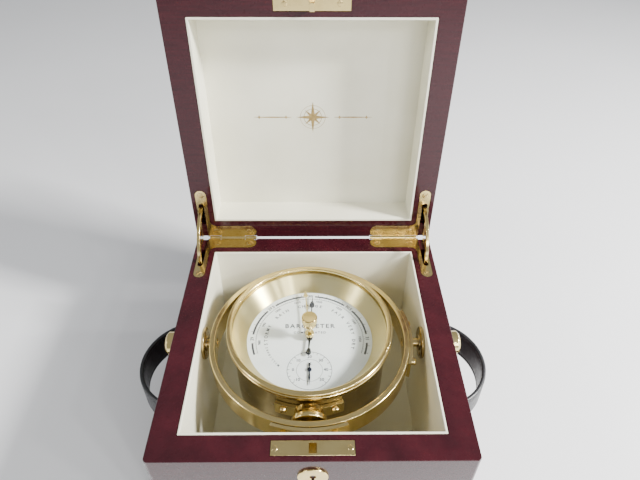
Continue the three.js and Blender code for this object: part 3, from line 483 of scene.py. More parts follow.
def leather_finish():
    """Black leather: pebbled grain, with worn lighter patches."""
    values = {"Coat Weight": 0.25, "Coat Roughness": 0.32, "Specular IOR Level": 0.55}
    stops = ((0.35, (0.0065, 0.0065, 0.0080)), (0.7, (0.0190, 0.0185, 0.0210)))
    material = textured("black_leather", values, (130, 8), stops, (350, 5), (0.36, 0.54))
    tree = material.node_tree
    place = add(tree, "ShaderNodeTexCoord").outputs["Object"]
    grain = add(tree, "ShaderNodeTexVoronoi", {"Vector": place, "Scale": 1100}, feature="SMOOTH_F1")
    bump(tree, tree.nodes["Principled BSDF"], grain.outputs["Distance"], 0.5, 0.0003)
    return material


def glass_finish():
    """A clear pane: what isn't mirrored at its surface goes straight through."""
    material = bpy.data.materials.new("clear_glass")
    material.use_nodes = True
    tree = material.node_tree
    tree.nodes.remove(tree.nodes["Principled BSDF"])
    clear = add(tree, "ShaderNodeBsdfTransparent", {"Color": (0.985, 0.995, 0.990, 1)})
    haze = spread(tree, noise(tree, 200, 4), 0.015, 0.05)
    mirror = add(tree, "ShaderNodeBsdfGlossy", {"Roughness": haze, "Color": (1, 1, 1, 1)})
    facing = add(tree, "ShaderNodeLayerWeight").outputs["Facing"]
    glancing = add(tree, "ShaderNodeMath", {0: facing, 1: 5.0}, operation="POWER").outputs[0]
    share = add(tree, "ShaderNodeMath", {0: glancing, 1: 0.96, 2: 0.04}, operation="MULTIPLY_ADD").outputs[0]
    mix = add(tree, "ShaderNodeMixShader", {0: share, 1: clear.outputs[0], 2: mirror.outputs[0]})
    tree.links.new(mix.outputs[0], tree.nodes["Material Output"].inputs["Surface"])
    return material


# dark red stained wood under a thick gloss lacquer
LACQUER = textured(
    "lacquered_wood",
    {"Coat Weight": 0.6, "Coat Roughness": 0.05, "Coat IOR": 1.4, "Specular IOR Level": 0.15},
    (60, 8, (1, 1, 14)),
    ((0.25, (0.020, 0.0034, 0.0056)), (0.55, (0.032, 0.0046, 0.0076)), (0.8, (0.044, 0.0064, 0.0100))),
    (220, 5), (0.22, 0.34), ((45, 1), 0.006, 0.0003))
# cream leatherette with a fine grain
LINING = textured(
    "cream_lining", {"Specular IOR Level": 0.35}, (25, 6),
    ((0.35, (0.690, 0.670, 0.535)), (0.65, (0.745, 0.725, 0.595))),
    (900, 4), (0.46, 0.62), ((1600, 3), 0.25, 0.0002))
BRASS = brass_finish("polished_brass", (0.74, 0.57, 0.235), (0.85, 0.68, 0.31), (0.14, 0.22), 0.02)
SCREW_BRASS = brass_finish("screw_brass", (0.60, 0.45, 0.19), (0.74, 0.58, 0.27), (0.18, 0.30), 0.03)
# painted shade: a darker copy of the polished brass, standing in for the shadow on the bowl's side; the
# bearings and movement use it too
SHADED_BOWL_BRASS = brass_finish("bowl_brass", (0.34, 0.265, 0.135), (0.44, 0.35, 0.18), (0.20, 0.28), 0.02)
TURNED_BRASS = turned_brass_finish()
STEEL = steel_finish("steel", (0.36, 0.36, 0.35), (0.52, 0.52, 0.51), (0.28, 0.42))
BLUED = steel_finish("blued_steel", (0.010, 0.013, 0.030), (0.022, 0.028, 0.060), (0.24, 0.36))
DIAL_WHITE = textured(
    "dial_white", {"Specular IOR Level": 0.5}, (60, 6),
    ((0.35, (0.800, 0.835, 0.830)), (0.65, (0.845, 0.872, 0.866))),
    (500, 4), (0.34, 0.44), ((3000, 2), 0.05, 0.0001))
DIAL_INK = textured(
    "dial_ink", {"Specular IOR Level": 0.3}, (900, 4),
    ((0.3, (0.012, 0.014, 0.030)), (0.7, (0.030, 0.034, 0.055))), (1200, 3), (0.5, 0.65))
LEATHER = leather_finish()
THREAD = textured(
    "stitching", {"Sheen Weight": 0.3}, (2000, 3, (1, 1, 3)),
    ((0.3, (0.020, 0.020, 0.024)), (0.7, (0.060, 0.058, 0.062))), (900, 3), (0.5, 0.7))
FELT = textured(
    "green_felt", {"Sheen Weight": 0.6, "Sheen Roughness": 0.6, "Specular IOR Level": 0.1}, (1400, 8),
    ((0.3, (0.008, 0.030, 0.016)), (0.7, (0.024, 0.072, 0.040))),
    (800, 4), (0.85, 0.98), ((1400, 8), 0.8, 0.0006))
GLASS = glass_finish()
GILT = textured(
    "gilt_print", {"Metallic": 0.75}, (500, 5),
    ((0.3, (0.330, 0.235, 0.090)), (0.7, (0.470, 0.345, 0.150))), (900, 3), (0.34, 0.5))
TABLE = textured(
    "pale_table", {"Specular IOR Level": 0.3}, (3, 3),
    ((0.3, (0.780, 0.785, 0.800)), (0.7, (0.800, 0.805, 0.820))), (6, 3), (0.5, 0.6))

# ---------- hinges and stays ----------


def leaf_outline(margin=0):
    """The hinge leaf on the +X side: an arm along the side, slotted for the stay, and one along the back."""
    end = (LEAF_OUTER - LEAF_INNER) / 2
    tip = (LEAF_BACK - LEAF_ARM) / 2
    middle = ((LEAF_OUTER + LEAF_INNER) / 2, LEAF_FRONT + end)
    back = HALF + 1 if margin else LEAF_BACK
    slot = (SLOT_OUT - SLOT_IN) / 2
    fillet_centre = (LEAF_INNER - LEAF_FILLET, LEAF_ARM - LEAF_FILLET)
    outline = [Vector((LEAF_OUTER + margin, back))]
    outline += arc(end + margin, 0, -180, 20, middle)
    outline += arc(LEAF_FILLET - margin, 0, 90, 8, fillet_centre)
    outline += arc(tip + margin, -90, -270, 16, (KNUCKLES[0] + tip, LEAF_ARM + tip))
    if margin:
        outline.append(Vector((KNUCKLES[0] + tip, back)))
        return outline
    outline.append(Vector((SLOT_IN, back)))
    outline += arc(slot, 180, 360, 12, (SLOT_IN + slot, SLOT_FRONT + slot))
    outline.append(Vector((SLOT_OUT, back)))
    return outline


def barrel(index, radius, margin):
    return rod_x(radius, (KNUCKLES[index] - margin, KNUCKLES[index + 1] + margin), PIN.y, PIN.z)


def leaf(low, high, own, others, face, facing):
    """A leaf between two heights with its own knuckles, cleared for the other leaf's."""
    whole = joined(prism(leaf_outline(), low, high), *[barrel(i, KNUCKLE_RADIUS, -GAP / 2) for i in own])
    clearances = [barrel(i, KNUCKLE_RADIUS + GAP, GAP / 2) for i in others]
    bore = rod_x(KNUCKLE_BORE, (KNUCKLES[0] - 1, KNUCKLES[3] + 1), PIN.y, PIN.z)
    sinks = countersinks(leaf_screws(1, face, facing), LEAF_SCREW)
    return cut(whole, bore, *clearances, *sinks)


def leaf_screws(side, face, facing):
    return [((side * x, y, face), (0, 0, facing)) for x, y in LEAF_SCREWS]


def stay():
    """An arc about the hinge pin, edge on between the two slots."""
    start = 180 + STAY_TAIL_DEG
    end = 180 - OPEN_DEG - STAY_TAIL_DEG
    centre = (PIN.y, PIN.z)
    turn_out = STAY_ROUNDING / STAY_OUT * 180 / pi
    outline = [
        *arc(STAY_OUT, start - turn_out, end + turn_out, 72, centre),
        *arc(STAY_IN, end, start, 72, centre),
    ]
    middle = (SLOT_IN + SLOT_OUT) / 2
    return along_x(prism(outline, middle - STAY_THICK / 2, middle + STAY_THICK / 2))


def build_hinges():
    for seed, (name, side) in enumerate(SIDES.items()):
        base = leaf(RIM - LEAF_THICK, RIM, (0, 2), (1,), RIM, 1)
        piece(f"base_hinge_{name}", on_side(base, side), BRASS, "case",
              [f"hinge_leaf_base_{name}"], bevel=0.12)
        lid = leaf(LID_LOW, LID_LOW + LEAF_THICK, (1,), (0, 2), LID_LOW, -1)
        piece(f"lid_hinge_{name}", moved(on_side(lid, side), OPEN), BRASS, "lid",
              [f"hinge_leaf_lid_{name}"], bevel=0.12)
        screws(f"base_hinge_screws_{name}", leaf_screws(side, RIM, 1), LEAF_SCREW, SCREW_BRASS,
               "case", seed=seed + 3)
        screws(f"lid_hinge_screws_{name}", leaf_screws(side, LID_LOW, -1), LEAF_SCREW, SCREW_BRASS,
               "lid", seed=seed + 7, turn=OPEN)
        piece(f"stay_arc_{name}", on_side(stay(), side), BRASS, f"stay_{name}",
              [f"stay_{name}"], bevel=0.25)
        pin = rod_x(HINGE_WIRE, (KNUCKLES[0], KNUCKLES[3]), PIN.y, PIN.z, 24)
        piece(f"hinge_wire_{name}", on_side(pin, side), SCREW_BRASS, "case",
              [f"hinge_pin_{name}"], bevel=0.15)


# ---------- case ----------


def hinge_cuts(low, high):
    """What both hinges take out of a rim: a leaf recess and a barrel groove each."""
    tools = []
    for side in SIDES.values():
        tools.append(on_side(prism(leaf_outline(GAP), low, high), side))
        groove = rod_x(KNUCKLE_RADIUS + 2 * GAP, (KNUCKLES[0] - GAP, KNUCKLES[3] + GAP), PIN.y, PIN.z)
        tools.append(on_side(groove, side))
    return tools


def stay_pockets(low, high):
    near = PIN.y - STAY_OUT - 1
    spans = ((SLOT_IN + POCKET_CLEAR, SLOT_OUT - POCKET_CLEAR), (near, INNER + 4), (low, high))
    return [on_side(block(*spans), side) for side in SIDES.values()]


def lock_cuts(half_width, depth, face, facing):
    y = (LOCK_Y - LOCK_HALF_THICK - GAP, LOCK_Y + LOCK_HALF_THICK + GAP)
    reach = sorted((face + facing, face - facing * (depth + GAP)))
    return block((-half_width - GAP, half_width + GAP), y, reach)


def base_shell():
    shell = rounded_box(HALF, BASE_LOW, RIM, CORNER, 0.8, LIP)
    hollow = block((-INNER, INNER), (-INNER, INNER), (FLOOR_TOP, RIM + 2))
    bores = [on_side(rod_x(SLEEVE_RADIUS + GAP, (INNER - 2, HALF + 2), 0, CENTRE.z), side)
             for side in SIDES.values()]
    shell = cut(shell, hollow)
    shell = cut(shell, *hinge_cuts(RIM - LEAF_THICK - GAP, RIM + 1))
    shell = cut(shell, *stay_pockets(RIM - POCKET_DEPTH, RIM + 1), *bores)
    return cut(shell, lock_cuts(LOCK_HALF_WIDTH, LOCK_DEPTH, RIM, 1),
               lock_cuts(LOCK_PLATE_HALF, LOCK_PLATE_THICK, RIM, 1))


def lid_shell():
    shell = rounded_box(HALF, LID_LOW, LID_HIGH, CORNER, LIP, LID_EDGE)
    hollow = block((-INNER, INNER), (-INNER, INNER), (LID_LOW - 2, LID_INSIDE))
    shell = cut(shell, hollow)
    shell = cut(shell, *hinge_cuts(LID_LOW - 1, LID_LOW + LEAF_THICK + GAP))
    shell = cut(shell, *stay_pockets(LID_LOW - 1, LID_LOW + POCKET_DEPTH))
    return cut(shell, lock_cuts(LOCK_PLATE_HALF, LOCK_PLATE_THICK, LID_LOW, -1))


def build_case():
    walls = [f"base_wall_{name}" for name in (*ENDS, *SIDES)]
    piece("base_case", base_shell(), LACQUER, "case", ["base_floor", *walls])
    walls = [f"lid_wall_{name}" for name in (*ENDS, *SIDES)]
    piece("lid_case", moved(lid_shell(), OPEN), LACQUER, "lid", ["lid_top", *walls])
    for node, finish in (("well_liner", LINING), ("lid_liner", LINING), ("base_felt", FELT)):
        carry(node, finish, 0.5)


# ---------- gilt mark in the lid: a plain compass rose between two rules ----------


def star(points, long, waist, low, high, turn_deg=0):
    outline = []
    for i in range(points):
        middle = 90 + turn_deg + i * 360 / points
        outline.append(polar(long, middle))
        outline.append(polar(waist, middle + 180 / points))
    return prism(outline, low, high)


def flat_ring(radius, width, low, high, from_deg=0, to_deg=360, steps=96):
    if to_deg - from_deg >= 360:
        return turned([(radius, low), (radius + width, low), (radius + width, high), (radius, high)], steps)
    outline = arc(radius + width, from_deg, to_deg, steps) + arc(radius, to_deg, from_deg, steps)
    return prism(outline, low, high)


def compass_rose():
    low, high = LINING_FACE - 0.06, LINING_FACE + 0.02
    shapes = [
        star(4, 12.5, 2.1, low, high),
        star(4, 8.2, 1.7, low - 0.02, high, 45),
        flat_ring(6.4, 0.35, low, high),
        flat_ring(9.2, 0.25, low, high),
    ]
    for side in SIDES.values():
        rule = [(16, -0.15), (30, -0.55), (44, -0.1), (44, 0.1), (30, 0.55), (16, 0.15)]
        shapes.append(on_side(prism([Vector(p) for p in rule], low, high), side))
        for x in (20, 40):
            dot = moved(star(4, 1.5, 0.75, low - 0.02, high), Matrix.Translation((x, 0, 0)))
            shapes.append(on_side(dot, side))
    return merged(shapes)


def build_mark():
    piece("lid_compass_rose", moved(compass_rose(), OPEN), GILT, "lid")


# ---------- lock ----------


def escutcheon():
    front = HALF + ESCUTCHEON_THICK
    profile = [(0, HALF + 0.1), (ESCUTCHEON_RADIUS, HALF + 0.1), (ESCUTCHEON_RADIUS, front, 0.6),
               (ESCUTCHEON_RADIUS - 1.2, front - 0.25, 0.3), (ESCUTCHEON_RADIUS - 2, front, 0.3), (0, front)]
    disc = turned(soft(profile), 96)
    through = (HALF - 1, HALF + 3)
    hole = moved(cylinder(KEYHOLE_RADIUS, *through, 32), Matrix.Translation((0, KEYHOLE_RISE, 0)))
    slit = block((-KEYHOLE_HALF_SLIT, KEYHOLE_HALF_SLIT), (KEYHOLE_FOOT, 1), through)
    to_front = Matrix.Translation((0, 0, ESCUTCHEON_Z)) @ Matrix.Rotation(pi / 2, 4, "X")
    return moved(cut(disc, hole, slit), to_front)


def build_lock():
    piece("lock_keyhole_plate", escutcheon(), BRASS, "case", ["lock_escutcheon"], bevel=0.15)
    face = -HALF - ESCUTCHEON_THICK + 0.15
    pins = [((side * ESCUTCHEON_PIN_REACH, face, ESCUTCHEON_Z), (0, -1, 0)) for side in SIDES.values()]
    screws("lock_keyhole_pins", pins, ESCUTCHEON_PIN, SCREW_BRASS, "case", seed=11)
    carry("lock_case", BRASS, 0.15)
    carry("lock_strike", BRASS, 0.15)
    carry("lock_bolt", STEEL, 0.2)
    heads = [((side * LOCK_SCREW_REACH, LOCK_Y, RIM), (0, 0, 1)) for side in SIDES.values()]
    screws("lock_plate_screws", heads, LOCK_SCREW, SCREW_BRASS, "case", dome=0.2, seed=12)
    heads = [((side * STRIKE_SCREW_REACH, LOCK_Y, LID_LOW), (0, 0, -1)) for side in SIDES.values()]
    screws("lock_strike_screws", heads, LOCK_SCREW, SCREW_BRASS, "lid", dome=0.2, seed=13, turn=OPEN)


# ---------- carrying handles ----------


def strap_line():
    """The strap's middle line on the +X side, from the back foot round the bend to the front foot."""
    radius = STRAP_RADIUS - STRAP_THICK / 2
    centre_x = HALF + STRAP_REACH - STRAP_RADIUS
    foot_x = HALF + GAP + STRAP_THICK / 2
    fillet_x = foot_x + STRAP_FOOT_RADIUS
    fillet_y = ((radius + STRAP_FOOT_RADIUS) ** 2 - (fillet_x - centre_x) ** 2) ** 0.5
    meet = atan2(fillet_y, fillet_x - centre_x) * 180 / pi
    line = [Vector((foot_x, STRAP_FOOT_END - i * 2)) for i in range(int((STRAP_FOOT_END - fillet_y) / 2))]
    line += arc(STRAP_FOOT_RADIUS, 180, 180 + meet, 14, (fillet_x, fillet_y))
    line += arc(radius, meet, -meet, 72, (centre_x, 0))[1:-1]
    line += [Vector((p.x, -p.y)) for p in reversed(line[:-71])]
    return line


def strap_frames():
    """Each point of the strap's middle line with its outward normal."""
    line = strap_line()
    frames = []
    for i, point in enumerate(line):
        ahead = line[min(i + 1, len(line) - 1)] - line[max(i - 1, 0)]
        frames.append((point, Vector((-ahead.y, ahead.x)).normalized()))
    return frames


def strap():
    """The strap: a crowned section with a stitched groove near each edge."""
    half, wide = STRAP_THICK / 2, STRAP_WIDTH / 2
    crown = [(wide, 0.0), (wide - 0.15, 0.62), (wide - 0.8, 0.86), (wide - 1.8, 0.96), (wide - 2.5, 0.80),
             (wide - 3.2, 0.80), (wide - 3.9, 0.96), (wide * 0.4, 1.0), (0, 1.0)]
    top = [(z, share * half) for z, share in crown]
    top += [(-z, out) for z, out in reversed(top[:-1])]
    section = top + [(z, -share) for z, share in reversed(top[1:-1])]
    shape = bmesh.new()
    rings = []
    for point, normal in strap_frames():
        rings.append([shape.verts.new((*(point + normal * out), STRAP_Z + z)) for z, out in section])
    for before, after in zip(rings, rings[1:]):
        for i in range(len(section)):
            shape.faces.new((before[i - 1], before[i], after[i], after[i - 1]))
    shape.faces.new(rings[0])
    shape.faces.new(rings[-1])
    bmesh.ops.recalc_face_normals(shape, faces=shape.faces)
    return shape


def strap_stitches():
    """Two rows of stitches on each face of the strap."""
    half, radius = STITCH_LENGTH / 2, STITCH_RADIUS
    profile = [(0, -half), (radius * 0.8, -half + 0.25), (radius, 0), (radius * 0.8, half - 0.25), (0, half)]
    out = STRAP_THICK / 2 * STITCH_SEAT + 0.02
    frames = strap_frames()
    shapes = []
    travelled = 0
    due = STITCH_START
    for (point, normal), (following, _) in zip(frames, frames[1:]):
        step = (following - point).length
        while due < travelled + step:
            share = (due - travelled) / step
            middle = point.lerp(following, share)
            ahead = (following - point).normalized()
            for face in (-1, 1):
                seat = middle + normal * face * out
                for row in (-1, 1):
                    z = STRAP_Z + row * (STRAP_WIDTH / 2 - STITCH_INSET)
                    shapes.append(moved(turned(profile, 8), aimed((*seat, z), (*ahead, 0))))
            due += STITCH_PITCH
        travelled += step
    return merged(shapes)


def handle_plate():
    """The plate over the strap's back foot on the +X side."""
    places = ((PLATE_NEAR, -1), (PLATE_FAR, -1), (PLATE_FAR, 1), (PLATE_NEAR, 1))
    corners = [(y, end * PLATE_HALF, PLATE_CORNER) for y, end in places]
    low = HALF + 2 * GAP + STRAP_THICK
    plate = along_x(prism(soft(corners, 8), low, low + PLATE_THICK))
    return moved(plate, Matrix.Translation((0, 0, STRAP_Z)))


def build_handles():
    face = HALF + 2 * GAP + STRAP_THICK + PLATE_THICK
    middle = (PLATE_NEAR + PLATE_FAR) / 2
    for seed, (name, side) in enumerate(SIDES.items()):
        piece(f"leather_strap_{name}", on_side(strap(), side), LEATHER, "case",
              [f"handle_strap_{name}"], sharp_deg=60)
        piece(f"strap_stitches_{name}", on_side(strap_stitches(), side), THREAD, "case")
        heads = []
        for where, end in ENDS.items():
            plate = moved(handle_plate(), Matrix.Diagonal((side, end, 1, 1)))
            piece(f"strap_plate_{name}_{where}", plate, BRASS, "case",
                  [f"handle_plate_{name}_{where}"], bevel=0.5)
            heads += [((side * face, end * middle, STRAP_Z + rise), (side, 0, 0))
                      for rise in (-PLATE_SCREW_RISE, PLATE_SCREW_RISE)]
        screws(f"strap_screws_{name}", heads, PLATE_SCREW, SCREW_BRASS, "case", dome=0.7, seed=seed + 20)


# ---------- gimbals ----------


def case_pivot_parts(name, side):
    """The bush, cap, screws and pin that carry the ring on one side of the case."""
    to_axis = Matrix.Translation((0, 0, CENTRE.z))
    face = min(abs(corner.x) for corner in mm_box(f"pivot_bush_{name}"))
    bush = turned(soft([
        (CASE_BORE, face, 0.4), (5.6, face, 0.3), (5.6, face + 0.8), (BUSH_RADIUS - 1, face + 0.8, 0.3),
        (BUSH_RADIUS, face + 1.5, 0.3), (BUSH_RADIUS, face + BUSH_THICK, 0.3),
        (SLEEVE_RADIUS, face + BUSH_THICK), (SLEEVE_RADIUS, HALF - GAP), (CASE_BORE, HALF - GAP)]), 96)
    bush = moved(along_x(bush), to_axis)
    base, top = HALF + 0.1, HALF + CAP_PROUD
    cap = turned(soft([
        (0, base), (CAP_RADIUS, base, 0.3), (CAP_RADIUS, base + 1.8, 0.3),
        (CAP_RADIUS - 0.9, base + 2.2, 0.3), (CAP_RADIUS - 0.9, top - 1.6, 0.8),
        (CAP_RADIUS - 2.6, top, 0.8), (0, top)]), 96)
    cap = moved(along_x(cap), to_axis)
    slot = block((top - 1.6, top + 1), (-10, 10), (CENTRE.z - CAP_SLOT / 2, CENTRE.z + CAP_SLOT / 2))
    piece(f"bearing_{name}", on_side(bush, side), SHADED_BOWL_BRASS, "case", [f"pivot_bush_{name}"])
    piece(f"bearing_cap_{name}", on_side(cut(cap, slot), side), BRASS, "case",
          [f"pivot_cap_{name}"], bevel=0.12)
    heads = []
    for deg in BUSH_SCREW_DEGS:
        spot = polar(BUSH_SCREW_REACH, deg)
        heads.append(((side * (face + 0.8), spot.x, CENTRE.z + spot.y), (-side, 0, 0)))
    screws(f"bearing_screws_{name}", heads, BUSH_SCREW, SCREW_BRASS, "case", dome=0.25, seed=30 + side)
    reach = (RING_IN + 0.5 + side * CENTRE.x, HALF - 0.5)
    pin = turned(soft([(0, reach[0]), (CASE_PIVOT, reach[0], 0.6), (CASE_PIVOT, reach[1], 0.6),
                       (0, reach[1])]), 48)
    pin = moved(along_x(pin), to_axis)
    piece(f"pivot_{name}", on_side(pin, side), SCREW_BRASS, "case", [f"pivot_pin_{name}"])


def gimbal_band():
    """The ring, drilled for its four pivots."""
    edge = 0.7
    band = turned(soft([(RING_IN, -RING_HALF, edge), (RING_OUT, -RING_HALF, edge),
                        (RING_OUT, RING_HALF, edge), (RING_IN, RING_HALF, edge)]), 224)
    drills = [moved(cylinder(radius, 0, 80, 40), outwards(deg))
              for deg, radius in ((0, CASE_BORE), (90, RING_BORE), (180, CASE_BORE), (270, RING_BORE))]
    return cut(band, *drills)


def ring_strip(bore):
    inner = RING_OUT + GAP
    outline = [*arc(inner + STRIP_THICK, -STRIP_HALF_DEG, STRIP_HALF_DEG, 40),
               *arc(inner, STRIP_HALF_DEG, -STRIP_HALF_DEG, 40)]
    drill = moved(cylinder(bore, 50, 90, 40), outwards(0))
    return cut(prism(outline, -STRIP_HALF, STRIP_HALF), drill)


def ring_pivot(under_head):
    """The pin that the bowl turns on, made along Z, its head standing on the ring or on its strip."""
    shoulder = RING_OUT + under_head + 0.1
    start = BOWL_OUT + PIVOT_TIP
    pin = turned(soft([
        (0, start), (RING_PIVOT, start, 0.3), (RING_PIVOT, shoulder), (4.2, shoulder, 0.2),
        (4.2, shoulder + 1, 0.3), (3.4, shoulder + 1.6, 0.3), (0, shoulder + 1.6)]), 48)
    slot = block((-5, 5), (-0.5, 0.5), (shoulder + 0.8, shoulder + 3))
    return cut(pin, slot)


def build_gimbals():
    for name, side in SIDES.items():
        case_pivot_parts(name, side)
    piece("gimbal_band", moved(gimbal_band(), AT_CENTRE), BRASS, "ring", ["gimbal_ring"])
    heads = []
    for name, deg, bore in (("right", 0, CASE_BORE), ("front", 270, RING_BORE)):
        strip = moved(ring_strip(bore), AT_CENTRE @ about_z(deg))
        piece(f"ring_plate_{name}", strip, BRASS, "ring", [f"ring_strip_{name}"], bevel=0.4)
        for offset in (-STRIP_SCREW_DEG, STRIP_SCREW_DEG):
            spot = polar(RING_OUT + GAP + STRIP_THICK, deg + offset)
            heads.append((CENTRE + Vector((*spot, 0)), (*spot, 0)))
    screws("ring_plate_screws", heads, STRIP_SCREW, SCREW_BRASS, "ring", dome=2.8, seed=41)
    for name, end in ENDS.items():
        under_head = GAP + STRIP_THICK if name == "front" else 0
        pin = moved(ring_pivot(under_head), AT_CENTRE @ outwards(end * 90))
        piece(f"bowl_pivot_{name}", pin, SCREW_BRASS, "ring", [f"ring_pivot_{name}"], bevel=0.1)


# ---------- bowl ----------


def bowl_can():
    inner = BOWL_OUT - BOWL_SKIN
    rim = GLASS_TOP - GLASS_THICK - 2 * GAP - CONE_SKIN
    bead = GLASS_RADIUS + 0.7
    return turned(soft([
        (0, BOWL_LOW), (BOWL_OUT - 8, BOWL_LOW, 0.6), (BOWL_OUT - 8.6, BOWL_LOW + 0.7, 0.4),
        (BOWL_OUT - 5, BOWL_LOW + 0.5, 1.2), (BOWL_OUT, BOWL_LOW + 5, 5), (BOWL_OUT, rim - 2.2, 0.8),
        (bead, rim - 1.9, 0.5), (bead, rim, 0.5), (GLASS_RADIUS - BOWL_SKIN, rim),
        (GLASS_RADIUS - BOWL_SKIN, rim - 0.9), (inner, rim - 2.5),
        (inner, BOWL_LOW + BOWL_BASE), (0, BOWL_LOW + BOWL_BASE)], 6), 192)


def bezel_ring():
    seat = GLASS_TOP + GAP
    inner = GLASS_RADIUS + GAP
    return turned(soft([
        (inner, BEZEL_LOW), (BEZEL_OUT, BEZEL_LOW, 0.4), (BEZEL_OUT, BEZEL_TOP - 3.6, 0.3),
        (BEZEL_OUT - 0.45, BEZEL_TOP - 3.2, 0.2), (BEZEL_OUT - 0.45, BEZEL_TOP - 2.8, 0.2),
        (BEZEL_OUT, BEZEL_TOP - 2.4, 0.3), (BEZEL_OUT, BEZEL_TOP, 1.3), (BEZEL_LIP, BEZEL_TOP, 0.7),
        (BEZEL_LIP, seat, 0.2), (inner, seat)]), 224)


def glass_pane():
    low = GLASS_TOP - GLASS_THICK
    return turned(soft([(GLASS_HOLE, low, 0.2), (GLASS_RADIUS, low, 0.3), (GLASS_RADIUS, GLASS_TOP, 0.3),
                        (GLASS_HOLE, GLASS_TOP, 0.2)]), 192)


def reflector():
    top = GLASS_TOP - GLASS_THICK - GAP
    bottom = DIAL_TOP + GAP
    low_back, high_back = DIAL_OPENING + CONE_SKIN + GAP, BEZEL_LIP + CONE_SKIN - GAP
    return turned(soft([
        (DIAL_OPENING, bottom, 0.2), (low_back, bottom), (high_back, top - CONE_SKIN),
        (GLASS_RADIUS, top - CONE_SKIN), (GLASS_RADIUS, top), (BEZEL_LIP, top, 0.3)]), 256)


def dial_plate():
    low = DIAL_TOP - DIAL_THICK
    plate = turned([(2, low), (DIAL_RADIUS, low), (DIAL_RADIUS, DIAL_TOP), (2, DIAL_TOP)], 160)
    bore = cylinder(1.2, low - 1, DIAL_TOP + 1, 32)
    return cut(plate, moved(bore, Matrix.Translation((0, THERMOMETER_Y, 0))))


def trunnion():
    """The saddle on the bowl's side along +X, with the boss that its pivot runs in."""
    inner = BOWL_OUT + GAP
    outer = inner + SADDLE_THICK
    saddle = prism([*arc(outer, -SADDLE_HALF_DEG, SADDLE_HALF_DEG, 40),
                    *arc(inner, SADDLE_HALF_DEG, -SADDLE_HALF_DEG, 40)], -SADDLE_HALF, SADDLE_HALF)
    neck, rim, face = (inner + reach for reach in BOSS_REACH)
    boss = turned(soft([
        (0, inner + 1), (BOSS_NECK_RADIUS, inner + 1), (BOSS_NECK_RADIUS, neck, 1.5),
        (BOSS_RADIUS, rim, 0.6), (BOSS_RADIUS, face, 0.7), (0, face)]), 96)
    drill = cylinder(BOSS_BORE, inner + 4, 80, 40)
    return cut(joined(saddle, moved(boss, outwards(0))), moved(drill, outwards(0)))


def build_bowl():
    for name, shape, finish, node, slot in (
            ("bowl_can", bowl_can(), SHADED_BOWL_BRASS, "bowl", "brass"),
            ("bezel_ring", bezel_ring(), BRASS, "bezel", "brass"),
            ("glass_pane", glass_pane(), GLASS, "glass", "glass"),
            ("cone", reflector(), TURNED_BRASS, "reflector_cone", "brushed_brass"),
            ("dial_plate", dial_plate(), DIAL_WHITE, "dial", "dial_white")):
        piece(name, moved(shape, AT_CENTRE), finish, "bowl", [node])
    heads = []
    outer = BOWL_OUT + GAP + SADDLE_THICK
    for name, end in ENDS.items():
        seat = AT_CENTRE @ about_z(end * 90)
        piece(f"saddle_{name}", moved(trunnion(), seat), BRASS, "bowl",
              [f"trunnion_{name}"], bevel=0.35)
        for offset in (-SADDLE_SCREW_DEG, SADDLE_SCREW_DEG):
            spot = polar(outer, end * 90 + offset)
            heads.append((CENTRE + Vector((*spot, 0)), (*spot, 0)))
    screws("saddle_screws", heads, SADDLE_SCREW, SCREW_BRASS, "bowl", dome=1.8, seed=51)
    for node in ("movement_plate", "rocking_lever"):
        carry(node, SHADED_BOWL_BRASS, 0.2)
    for node in ("aneroid_capsule", "main_spring", "thermometer_coil"):
        carry(node, STEEL, 0.1)


# ---------- dial print ----------

MB_PER_HALF_INCH = 16.93
DEG_PER_HALF_INCH = 45
MIDDLE_MB = 1015.9  # 30 inches of mercury stands at 12 o'clock
SCALE_END_DEG = 110
WORDS = (("STORMY", -84), ("RAIN", -42), ("CHANGE", 0), ("FAIR", 42), ("VERY DRY", 84))
WORD_RADIUS, WORD_SIZE = 30.7, 3.3
UNIT_DEG, UNIT_SIZE = -121, 2.2
SCALE_RADIUS, SCALE_WIDTH, LABEL_GAP_DEG = 39.4, 1.4, 5.5
INCH_LABEL_RADIUS, INCH_LABEL_SIZE = 40.4, 3.3
INCH_TICK, INCH_TICK_WIDTH = (40.6, 42.2), 0.3
MB_LINE_RADIUS, MB_LINE_WIDTH = 37.4, 0.25
MB_TICK_START, MB_TICK_WIDTH = 37.6, 0.24
MB_TICK_TEN, MB_TICK_FIVE, MB_TICK_ONE = 1.8, 1.3, 0.8
MB_LABEL_RADIUS, MB_LABEL_SIZE = 35.2, 2.6
CELSIUS_OUTER, CELSIUS_INNER, CELSIUS_LABEL_RADIUS, CELSIUS_LABEL_SIZE = 14.8, 8.6, 11, 3.1
CELSIUS_STEP_DEG = 11  # a tick for every 2.5 degrees Celsius, with 20 at the foot
FULL_TURN_DEG = 359.9


def dial_deg(mb):
    """The angle of a pressure, clockwise from 12 o'clock."""
    return (mb - MIDDLE_MB) / MB_PER_HALF_INCH * DEG_PER_HALF_INCH


def lettering(text, size, place, clockwise_deg=0, spacing=1.0):
    """Figures and words as thin raised ink, centred on a place on the dial."""
    curve = bpy.data.curves.new("ink", "FONT")
    curve.body = text
    curve.size = size
    curve.extrude = INK / 2
    curve.offset = size * 0.022
    curve.resolution_u = 3
    curve.align_x = "CENTER"
    curve.align_y = "CENTER"
    curve.space_character = spacing
    obj = linked("ink", curve)
    mesh = bpy.data.meshes.new_from_object(obj.evaluated_get(bpy.context.evaluated_depsgraph_get()))
    shape = bmesh.new()
    shape.from_mesh(mesh)
    bpy.data.meshes.remove(mesh)
    bpy.data.objects.remove(obj)
    bpy.data.curves.remove(curve)
    seat = Matrix.Translation((*place, DIAL_TOP + INK / 2))
    return moved(shape, seat @ about_z(-clockwise_deg))


def clock_place(radius, clockwise_deg, centre=(0, 0)):
    return polar(radius, 90 - clockwise_deg, centre)


